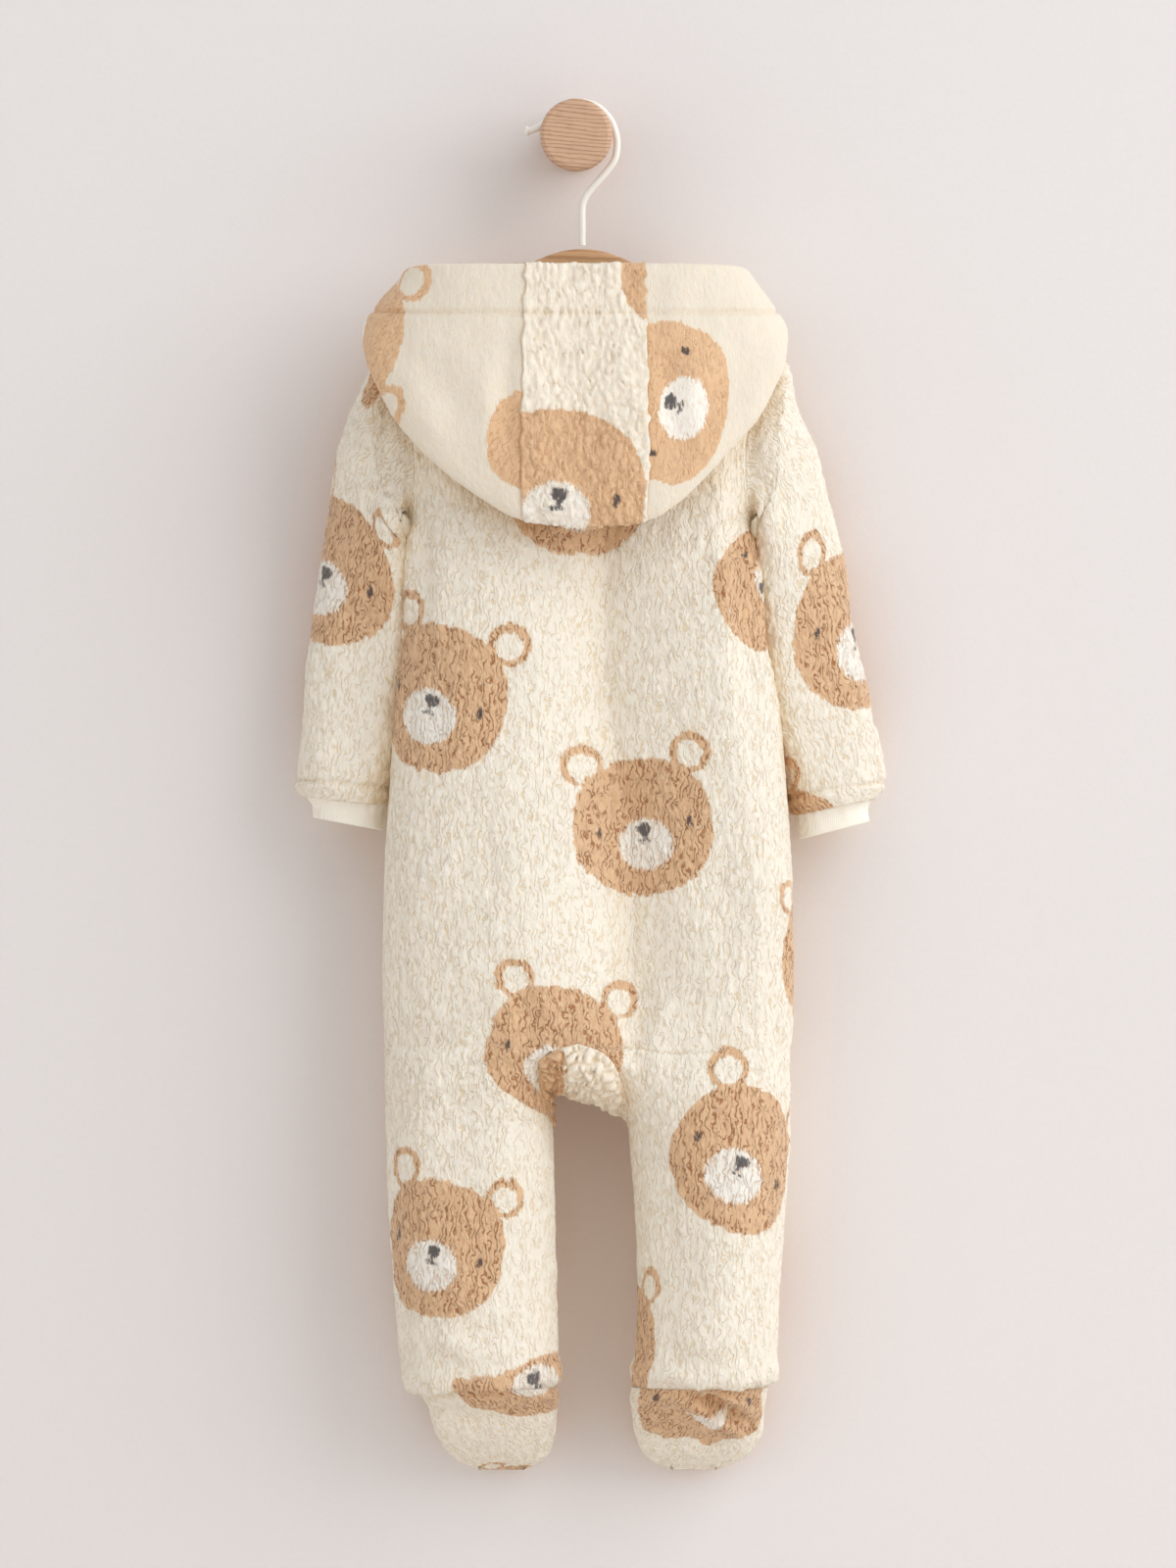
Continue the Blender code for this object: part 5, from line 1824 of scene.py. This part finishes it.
    def foot(self, side: Side, face: Face) -> None:
        """Sole or top of one foot.

        Args:
            side: which foot.
            face: back for the sole.
        """
        back = face is Face.BACK
        name = f"sole_{side.value}" if back else f"foot_top_{side.value}"
        rows, columns = self.foot_steps
        fine = np.linspace(HEEL, TOE, 400)
        run = along_curve(FEET_FORM.point(side, face, fine, 0.5))
        z = np.interp(np.linspace(0, run[-1], rows + 1), run, fine)
        grid = Grid(FEET_FORM.point(side, face, z[:, None], np.linspace(0, 1, columns + 1)))
        grid.face((0, -1 if back else 1, -0.3)).sew(*Edge)
        height = 1.0 * soft_noise(grid.points, (22, 22, 18), 25)
        for crease in FOOT_CREASES[face]:
            height += crease.height(grid.points[..., 0], grid.points[..., 2])
        grid.shift(height * smooth(grid.from_edges() / 10))
        shell = Shell(f"{name}_fleece", "fleece")
        shell.add(grid, CURLY, SOLE_HEADS if back else TOP_HEADS)
        flat = ((0.11, 0.085), 0.0056) if back else ((0.11, 0.065), 0.0044)
        hang(shell, self.finishes["fleece"], name, *flat)


@dataclass
class Sleeves:
    """Both sleeves with their jersey cuffs."""

    finishes: dict[str, Material]
    columns: int = 170
    rows: int = 175
    cuff_steps: tuple[int, int] = (30, 120)
    stitch: float = 9.0         # from the hem's edge up to its line of stitches

    def make(self) -> None:
        """Build both sleeves and both cuffs."""
        for side in Side:
            self.sleeve(side)
            self.cuff(side)

    @staticmethod
    def ring(sizes: dict[str, ndarray], turn: ndarray) -> ndarray:
        """Rings of a tube from its outer fold over the back to the inner fold and round.

        Args:
            sizes: columns of the tube's table, read at each ring.
            turn: angles round a ring.

        Returns:
            (rings, angles, 3) points.
        """
        outer, inner = (np.stack((sizes[fold + "_x"], sizes["mid_y"], sizes[fold + "_z"]),
                                 axis=-1)[:, None] for fold in ("outer", "inner"))
        depth = signed_power(np.sin(turn), FLATTEN)[None] * sizes["half_depth"][:, None]
        points = (outer + inner) / 2 + (outer - inner) / 2 * across(turn)[None, :, None]
        points[..., 1] -= depth
        return points

    def armhole(self, side: Side, turn: ndarray) -> ndarray:
        """Edge of the armhole, as the sleeve's first ring.

        Args:
            side: which armhole.
            turn: angles round the sleeve.

        Returns:
            One point for each angle.
        """
        count = len(ARMHOLE_ROWS) - 1
        place = turn / np.pi * count
        keys = Table(("i z", *enumerate(ARMHOLE_ROWS)))
        z = keys.at(np.minimum(place, 2 * count - place))["z"]
        t = armhole_turn(z)
        back, front = (SUIT_FORM.point(side, face, z, t) for face in (Face.BACK, Face.FRONT))
        return np.where((place <= count)[:, None], back, front)

    def sleeve(self, side: Side) -> None:
        """One sleeve, from the armhole to its turned hem.

        Args:
            side: which arm.
        """
        turn = np.linspace(0, 2 * np.pi, self.columns + 1)
        table = Table(LEFT_SLEEVE if side is Side.LEFT else RIGHT_SLEEVE)
        rings = np.concatenate((self.armhole(side, turn)[None],
                                self.ring(table.at(np.arange(1, 12)), turn)))
        grid = Grid(through(rings, evenly(rings, self.rows)), closed=True)
        grid.face().sew(Edge.TOP)
        height = self.folds(grid, side)
        grid.shift(height * smooth(grid.from_edges() / 16))
        stitch = grid.b[-1:] - grid.b - self.stitch
        groove = -1.6 * np.exp(-(stitch / 1.5) ** 2)
        groove += 0.7 * smooth((self.stitch - np.abs(stitch)) / 8) * (stitch < 0)
        grid.turn_hem(FLEECE_WALL / 2)
        shell = Shell(f"sleeve_{side.value}_fleece", "fleece")
        back = grid.normals[..., 1] < 0
        shell.add(grid, Pile(lean=-4 if side is Side.LEFT else 6), SLEEVE_HEADS[side], back)
        Shell.overprint(grid, HIDDEN_SLEEVE_HEADS[side], ~back)
        grid.stitch(groove)
        hang(shell, self.finishes["fleece"], f"sleeve_{side.value}", (0.175, 0.27), 0.037)

    def folds(self, grid: Grid, side: Side) -> ndarray:
        """Creases of a hanging sleeve.

        Args:
            grid: the sleeve's tube.
            side: which arm.

        Returns:
            Height in millimetres.
        """
        x, z, y = grid.points[..., 0], grid.points[..., 2], grid.points[..., 1]
        height = 1.6 * soft_noise(grid.points, (30, 30, 46), 31 + side.sign)
        height += 0.8 * soft_noise(grid.points, (13, 20, 34), 41 + side.sign)
        back = smooth((-36 - y) / 8 + 0.5)
        turn = np.linspace(0, 2, grid.points.shape[1])[None]
        span = smooth((-190 - z) / 18) * smooth((z + 372) / 50)
        height += 8 * np.exp(-((turn - 0.8) / 0.22) ** 2) * span
        for crease in SLEEVE_CREASES[side]:
            height += crease.height(x, z) * back
            turned = Crease(tuple((px + 4 * side.sign, pz - 11) for px, pz in crease.line),
                            crease.width * 1.1, crease.depth * 0.9, crease.lip)
            height += turned.height(x, z) * (1 - back)
        return height

    def cuff(self, side: Side) -> None:
        """Jersey cuff, gathered a little where it meets the sleeve.

        Args:
            side: which arm.
        """
        rows, columns = self.cuff_steps
        turn = np.linspace(0, 2 * np.pi, columns + 1)
        table = Table(LEFT_CUFF if side is Side.LEFT else RIGHT_CUFF)
        grid = Grid(self.ring(table.at(np.linspace(0, 2, rows + 1)), turn), closed=True)
        grid.face().sew(Edge.TOP)
        gather = 0.35 * np.sin(turn * 17 + 1.2 * np.sin(turn * 3))[None]
        gather = gather * (1 - grid.b / grid.b[-1:]) ** 1.5
        grid.shift(gather + 0.25 * soft_noise(grid.points, (5, 5, 8), 61))
        grid.turn_hem(JERSEY_WALL / 2)
        shell = Shell(f"cuff_{side.value}_jersey", "jersey", wall=JERSEY_WALL)
        shell.add(grid, None)
        hang(shell, self.finishes["jersey"], f"cuff_{side.value}", (0.13, 0.018), 0.0018)


@dataclass
class Hood:
    """Three-piece hood, dropped down the back with its opening turned up."""

    finishes: dict[str, Material]
    side_columns: int = 240
    centre_columns: int = 70
    rows: int = 225
    stitch: float = 26.0

    def make(self) -> None:
        """Build the hood's three pieces."""
        stations = np.concatenate((self.half(Side.LEFT)[::-1], self.half(Side.RIGHT)[1:]))
        middle, seam = len(stations) // 2, COLUMNS - HOOD_SEAM
        spans = {
            "left": (0, middle - seam, self.side_columns),
            "centre": (middle - seam, middle + seam, self.centre_columns),
            "right": (middle + seam, len(stations) - 1, self.side_columns),
        }
        for name, span in spans.items():
            self.piece(stations, name, *span)

    def half(self, side: Side) -> ndarray:
        """Stations of half the hood, from the middle of the back to the throat.

        Args:
            side: which half.

        Returns:
            (stations, places along the section, 3) points.
        """
        found, table = [], Table(HOOD)
        for place in np.arange(2 * COLUMNS + 1) / COLUMNS:
            sizes = {name: float(value) for name, value in table.at(place).items()}
            face, t = (Face.BACK, 1 - place) if place <= 1 else (Face.FRONT, place - 1)
            last = 1.0 if face is Face.BACK else float(front_turn(NECK))
            neck = SUIT_FORM.point(side, face, NECK, t * last)
            away = self.away(side, face, t)
            fold, hem = (np.array((side.sign * sizes[part + "_reach"] + sizes["lean"],
                                   sizes[part + "_y"], sizes[part + "_z"]))
                         for part in ("fold", "hem"))
            path = []
            for turn in np.pi * np.arange(ROLL_STEPS) / ROLL_STEPS:
                path.append(neck + away * NECK_ROLL * (1 - math.cos(turn))
                            + np.array((0, 0, NECK_ROLL * math.sin(turn))))
            start = neck + away * 2 * NECK_ROLL
            for k in range(HOOD_STEPS + 1):
                turn = math.pi * k / HOOD_STEPS
                depth = abs(math.sin(turn)) ** sizes["power"]
                point = start + (hem - start) * (1 - math.cos(turn)) / 2 \
                    + (fold - (start + hem) / 2) * depth
                path.append(self.lifted_off(point, place) if k <= HOOD_STEPS / 2 else point)
            found.append(path)
        return np.array(found)

    @staticmethod
    def away(side: Side, face: Face, t: float) -> ndarray:
        """Level direction out of the neck at one place round it.

        Args:
            side: which half.
            face: back or front.
            t: place between the side and the middle.

        Returns:
            The direction, of length 1.
        """
        def at(turn: float, z: float) -> ndarray:
            """Point a little round or down from that place."""
            if turn < 0:
                other = Face.FRONT if face is Face.BACK else Face.BACK
                return SUIT_FORM.point(side, other, z, -turn)
            if turn > 1:
                other_side = Side.RIGHT if side is Side.LEFT else Side.LEFT
                return SUIT_FORM.point(other_side, face, z, 2 - turn)
            return SUIT_FORM.point(side, face, z, turn)
        ring = at(t + 0.02, NECK) - at(t - 0.02, NECK)
        normal = np.cross(ring, at(t, NECK) - at(t, NECK - 0.5))
        out = at(t, NECK) - np.array((3.0, -50.0, 0.0))
        normal[2] = out[2] = 0
        return unit(normal if normal @ out > 0 else -normal)

    @staticmethod
    def body_depth(x: float, z: float, face: Face) -> float | None:
        """Depth at which the suit's face lies.

        Args:
            x: distance across.
            z: height.
            face: back or front.

        Returns:
            Its y, or None beside or above the suit.
        """
        if z > NECK:
            return None
        sizes = SUIT_FORM.table.at(z)
        middle = float(sizes["mid_left"] + sizes["mid_right"]) / 2
        side = Side.LEFT if x < middle else Side.RIGHT
        reach = (x - float(sizes[side.value])) / (middle - float(sizes[side.value]))
        if reach <= 0:
            return None
        t = SUIT_FORM.column_turn(z, min(reach, 1.0))
        return float(SUIT_FORM.point(side, face, z, t)[1])

    def shoulder_height(self, point: ndarray) -> float:
        """Find the shoulder over a point.

        Args:
            point: a point inside the suit.

        Returns:
            Height of the shoulder above it.
        """
        low, high = float(point[2]), NECK
        for _ in range(20):
            z = (low + high) / 2
            back = self.body_depth(point[0], z, Face.BACK)
            front = self.body_depth(point[0], z, Face.FRONT)
            if back is None or not back < point[1] < front:
                high = z
            else:
                low = z
        return high

    def lifted_off(self, point: ndarray, place: float) -> ndarray:
        """Move a point that would lie inside the suit out to its nearest side.

        Args:
            point: a point of the hood.
            place: 0 at the middle of the back, 1 at the side and 2 at the throat.

        Returns:
            The point itself where it is clear of the suit, or the moved one.
        """
        gap = REST_GAP + RIDGE_LIFT * max(0.0, 1 - abs(place - 1) / 0.3)
        back = self.body_depth(point[0], point[2], Face.BACK)
        front = self.body_depth(point[0], point[2], Face.FRONT)
        if back is None or not back - gap < point[1] < front + gap:
            return point
        moves = []
        if place < 1.1:
            moves.append(np.array((0, back - gap - point[1], 0)))
        if place > 1.1:
            moves.append(np.array((0, front + gap - point[1], 0)))
        if 0.7 < place < 1.6:
            moves.append(np.array((0, 0, self.shoulder_height(point) + gap - point[2])))
        return point + min(moves, key=np.linalg.norm)

    def piece(self, stations: ndarray, name: str, first: float, last: float,
              columns: int) -> None:
        """One of the hood's pieces.

        Args:
            stations: sections of the whole hood, from throat to throat.
            name: left, centre or right.
            first: station where it starts.
            last: station where it ends.
            columns: steps across it.
        """
        along = np.moveaxis(stations, 1, 0)                 # sections' places first
        places = evenly(along, self.rows)
        dense = np.moveaxis(through(along, places), 0, 1)   # stations first again
        cross = first + (last - first) * np.linspace(0, 1, columns + 1)
        grid = Grid(np.moveaxis(through(dense, cross), 0, 1)).sew(Edge.TOP, Edge.START, Edge.END)
        seen = np.broadcast_to((places > ROLL_STEPS + HOOD_STEPS / 2)[:, None], grid.a.shape)
        height = 1.2 * soft_noise(grid.points, (30, 30, 40), 71)
        height += 0.6 * soft_noise(grid.points, (14, 14, 22), 72)
        x, z = grid.points[..., 0], grid.points[..., 2]
        for crease in HOOD_CREASES:
            height += crease.height(x, z) * seen
        edge = smooth(grid.from_edges() / 12) * smooth((grid.b[-1:] - grid.b) / 10)
        grid.shift(height * edge)
        groove = -1.5 * np.exp(-((grid.b[-1:] - grid.b - self.stitch) / 1.5) ** 2)
        grid.turn_hem(FLEECE_WALL / 2)
        seen = np.concatenate((seen, np.ones((grid.hem, seen.shape[1]), dtype=bool)))
        shell = Shell(f"hood_{name}_fleece", "fleece")
        centre = name == "centre"
        shell.add(grid, STRIP if centre else BRUSHED, HOOD_HEADS[name],
                  seen & (grid.normals[..., 1] < 0), fade=1.6 if centre else 3.2)
        if centre:
            self.overhang(grid)
        else:
            Shell.overprint(grid, HIDDEN_HOOD_HEADS[name], seen & (grid.normals[..., 1] > 0),
                            share=smooth(grid.normals[..., 1] * 2))
        grid.stitch(groove)
        flat = ((0.072, 0.29), 0.0195) if centre else ((0.26, 0.21), 0.028)
        finish = self.finishes["fluffy" if centre else "brushed"]
        hang(shell, finish, f"hood_{name}", *flat)

    @staticmethod
    def overhang(grid: Grid) -> None:
        """Let the strip's long pile hang a little over the panels beside it.

        Args:
            grid: the dressed strip.
        """
        reach = 0.6 + 2.6 * (0.5 + 0.5 * soft_noise(grid.points, (3.0, 3.0, 4.4), 77)) ** 1.5
        wide = grid.a[:, -1:] - grid.a
        push = np.exp(-wide / 2.2) - np.exp(-grid.a / 2.2)
        grid.points = grid.points + grid.right * (push * reach)[..., None]


# ---------- zip, hanger and peg
@dataclass
class Zip:
    """Zip tape with its closed teeth, the slider and its pull."""

    finishes: dict[str, Material]
    pitch: float = 2.5
    tooth: tuple[float, float, float] = (3.4, 1.5, 1.15)    # across, out and along

    def make(self) -> None:
        """Build the tape and its teeth, and finish the slider and pull."""
        self.tape()
        self.teeth()
        for node in ("zip_slider", "zip_pull"):
            dress(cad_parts[node], self.finishes["metal"])

    @staticmethod
    def edge(side: Side, z: ndarray) -> ndarray:
        """Edge of one front beside the zip."""
        return SUIT_FORM.point(side, Face.FRONT, z, front_turn(z))

    def tape(self) -> None:
        """Woven tape between the fronts."""
        z = np.linspace(NECK, ZIP_FOOT - 9, 201)
        left, right = self.edge(Side.LEFT, z), self.edge(Side.RIGHT, z)
        share = np.linspace(0, 1, 11)[None, :, None]
        points = left[:, None] * (1 - share) + right[:, None] * share
        grid = Grid(points).face((0, 1, 0)).sew(*Edge)
        bow = 1 - (2 * share[..., 0] - 1) ** 2
        grid.shift(np.broadcast_to(-0.9 * bow, grid.a.shape).copy())
        shell = Shell("zip_tape", "zip_tape", wall=1.5)
        shell.add(grid, None)
        settle(shell.build(), self.finishes["tape"], "zip_chain")

    def teeth(self) -> None:
        """Two rows of moulded teeth that mesh, from one tooth."""
        deselect()
        bpy.ops.mesh.primitive_cube_add(size=1, location=(0, 0, 0))
        tooth = bpy.context.object
        tooth.name = "zip_teeth"
        tooth.scale = [size * MM for size in self.tooth]
        bpy.ops.object.transform_apply(location=False, rotation=False, scale=True)
        bpy.ops.object.mode_set(mode="EDIT")
        bpy.ops.mesh.select_all(action="SELECT")
        bpy.ops.mesh.bevel(offset=0.28 * MM, segments=1, affect="EDGES")
        bpy.ops.object.mode_set(mode="OBJECT")
        z = np.linspace(NECK, ZIP_FOOT, 800)
        middle = (self.edge(Side.LEFT, z) + self.edge(Side.RIGHT, z)) / 2
        run = along_curve(middle)
        places = np.arange(2.0, run[-1] - 2.0, self.pitch / 2)
        spots = np.stack([np.interp(places, run, middle[:, k]) for k in range(3)], axis=1)
        base = np.array([vertex.co for vertex in tooth.data.vertices])
        faces = [tuple(face.vertices) for face in tooth.data.polygons]
        corners, polygons = [], []
        for i, spot in enumerate(spots):
            shift = np.array((0.75 if i % 2 else -0.75, -0.15, 0.0))
            corners.append(base + (spot + shift) * MM)
            polygons += [[k + i * len(base) for k in face] for face in faces]
        tooth.data.clear_geometry()
        tooth.data.from_pydata(np.concatenate(corners).tolist(), [], polygons)
        tooth.data.update()
        settle(tooth, self.finishes["teeth"])


@dataclass
class Hanging:
    """Wooden hanger with its enamelled hook, and the wall peg."""

    finishes: dict[str, Material]
    wire: float = 2.0           # radius
    depth: float = -50.0
    crown: float = -60.4        # where the wire goes into the wood
    ball: tuple[float, ...] = (0.35, 1.05, 1.4, 1.5, 1.4, 1.08)     # radii at the tip, in wires

    ROUTE = (                   # across and up, from the tip over the peg and down
        (-28.5, 2.7), (-24.5, 3.4), (-19.5, 6.0), (-13.2, 12.2), (-5.5, 17.2), (4, 18.9),
        (12.5, 15.8), (19, 9), (22.2, 0), (22.4, -7), (20.6, -14), (14.2, -22.4), (7.6, -30.0),
        (4.2, -35.5), (3.2, -41), (3.2, -48), (3.2, -55),
    )

    def make(self) -> None:
        """Build the bar and the hook, and finish the peg."""
        self.bar()
        self.hook()
        dress(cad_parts["wall_peg"], self.finishes["peg"])

    def bar(self) -> None:
        """Wooden bar: the solid's form with its facets rounded off."""
        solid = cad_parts["hanger_bar"]
        piece = adopt(bpy.data.objects.new("hanger_wood_bar", solid.data.copy()))
        bpy.ops.object.mode_set(mode="EDIT")
        bpy.ops.mesh.select_all(action="SELECT")
        bpy.ops.mesh.remove_doubles(threshold=0.01 * MM)
        bpy.ops.mesh.tris_convert_to_quads()
        bpy.ops.object.mode_set(mode="OBJECT")
        rounding = piece.modifiers.new("rounding", "SUBSURF")
        rounding.levels = rounding.render_levels = 2
        bpy.ops.object.modifier_apply(modifier=rounding.name)
        bpy.ops.object.shade_smooth()
        settle(piece, self.finishes["hanger"], "hanger_bar")

    def hook(self) -> None:
        """Bent wire from the ball at its tip over the peg and down into the hanger's crown."""
        line = (*self.ROUTE, (self.ROUTE[-1][0], self.crown))
        keys = np.array([(x, self.depth, z) for x, z in line])
        route = through(keys, np.linspace(0, len(keys) - 1, 8 * len(keys)))
        curve = bpy.data.curves.new("hook_wire", "CURVE")
        curve.dimensions = "3D"
        curve.bevel_depth = self.wire * MM
        curve.bevel_resolution = 6
        curve.use_fill_caps = True
        spline = curve.splines.new("POLY")
        spline.points.add(len(route) - 1)
        for i, point in enumerate(route):
            spline.points[i].co = (*(point * MM), 1)
            spline.points[i].radius = self.ball[i] if i < len(self.ball) else 1
        piece = adopt(bpy.data.objects.new("hook_wire", curve))
        bpy.ops.object.convert(target="MESH")
        bpy.ops.object.shade_smooth()
        settle(piece, self.finishes["enamel"], "hanger_hook")


# ---------- room
@dataclass
class Studio:
    """Pale wall and floor, soft light from the upper right, and a long lens."""

    distance: float = 6.0
    view: tuple[float, float] = (0.0065, -0.3586)
    depth: float = -0.08
    tall: float = 0.864
    floor: float = -1.07

    def make(self) -> None:
        """Build the room, the lights and the camera."""
        self.wall()
        self.ground()
        self.lights()
        self.camera()

    def plane(self, name: str, size: float, location: tuple, turn: tuple) -> Object:
        """Add a backdrop.

        Args:
            name: its name.
            size: length of its side.
            location: its middle.
            turn: its rotation.

        Returns:
            The new plane.
        """
        deselect()
        bpy.ops.mesh.primitive_plane_add(size=size, location=location, rotation=turn)
        made = bpy.context.object
        made.name = name
        return made

    def wall(self) -> None:
        """Painted wall that can be looked through from behind, with warm shade painted in where the
        suit shuts it in.
        """
        wall = self.plane("studio_wall", 6.0, (0, 0.0006, -0.3), (math.pi / 2, 0, 0))
        wall.visible_shadow = False
        material, wire, shader = new_material("wall_paint")
        roller = wire.noise(wire.place(), 380.0, 3.0)
        paint = wire.mix(roller, linear(233, 229, 229), linear(237, 233, 234))
        wire.fill(shader, {
            # painted shade: the wall's paint is darkened and warmed where ambient occlusion finds it
            # shut in by the suit
            "Base Color": wire.painted_hollow_shade(paint, 0.12, (0.25, 0.75), (0.95, 0.83, 0.73)),
            "Roughness": 0.9, "Normal": wire.bump(roller, 0.15, 0.0005),
        })
        blend = wire.node("MixShader")
        for socket, value in zip(blend.inputs, (
                wire.node("NewGeometry").outputs["Backfacing"], shader.outputs[0],
                wire.node("BsdfTransparent").outputs[0])):
            wire.feed(socket, value)
        wire.fill(material.node_tree.nodes["Material Output"], {"Surface": blend.outputs[0]})
        dress(wall, material)

    def ground(self) -> None:
        """Pale plain floor, below the view."""
        ground = self.plane("studio_floor", 8.0, (0, -1.0, self.floor), (0, 0, 0))
        paint = Coating("floor_paint", (226, 220, 212), (232, 226, 219), (3, 3), (0.7, 0))
        dress(ground, paint.make({}))

    def lamp(self, name: str, place: tuple, aim: tuple, size: float, power: float,
             colour: tuple) -> None:
        """Add a square soft light.

        Args:
            name: its name.
            place: where it hangs, in metres.
            aim: what it looks at.
            size: its side.
            power: in watts.
            colour: its colour.
        """
        data = bpy.data.lights.new(name, "AREA")
        data.shape, data.size, data.energy, data.color = "SQUARE", size, power, colour
        lamp = bpy.data.objects.new(name, data)
        bpy.context.scene.collection.objects.link(lamp)
        lamp.location = place
        lamp.rotation_euler = (Vector(aim) - Vector(place)).to_track_quat("-Z", "Y").to_euler()

    def lights(self) -> None:
        """Soft key from the upper right, a weak fill, and light for the hidden side."""
        self.lamp("key", (3.3, -2.3, 1.6), (0, -0.05, -0.35), 4.2, 120, (0.965, 0.985, 1.0))
        self.lamp("fill", (-2.6, -3.2, 0.2), (0, -0.05, -0.4), 2.6, 14, (1.0, 0.98, 0.95))
        self.lamp("rear", (1.2, 2.8, 1.2), (0, 0, -0.35), 2.4, 40, (1.0, 0.97, 0.93))
        world = bpy.data.worlds.new("studio")
        bpy.context.scene.world = world
        world.use_nodes = True
        background = world.node_tree.nodes["Background"]
        background.inputs[0].default_value = (1.0, 0.992, 0.985, 1)
        background.inputs[1].default_value = 0.58
        bpy.context.scene.view_settings.view_transform = "Standard"

    def camera(self) -> None:
        """Long lens, square to the wall."""
        data = bpy.data.cameras.new("camera")
        data.sensor_width = 36.0
        data.lens = 18.0 / (self.tall / 2 / self.distance)
        data.clip_end = 100.0
        camera = bpy.data.objects.new("camera", data)
        bpy.context.scene.collection.objects.link(camera)
        camera.location = (self.view[0], self.depth - self.distance, self.view[1])
        camera.rotation_euler = (math.pi / 2, 0, 0)
        bpy.context.scene.camera = camera


def main() -> None:
    """Build every piece, the room and the camera."""
    logging.basicConfig(level=logging.INFO, format="%(message)s")
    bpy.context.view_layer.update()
    finishes = make_finishes()
    Studio().make()
    Hanging(finishes).make()
    Suit(finishes).make()
    Sleeves(finishes).make()
    Hood(finishes).make()
    Zip(finishes).make()


if __name__ == "__main__":
    main()
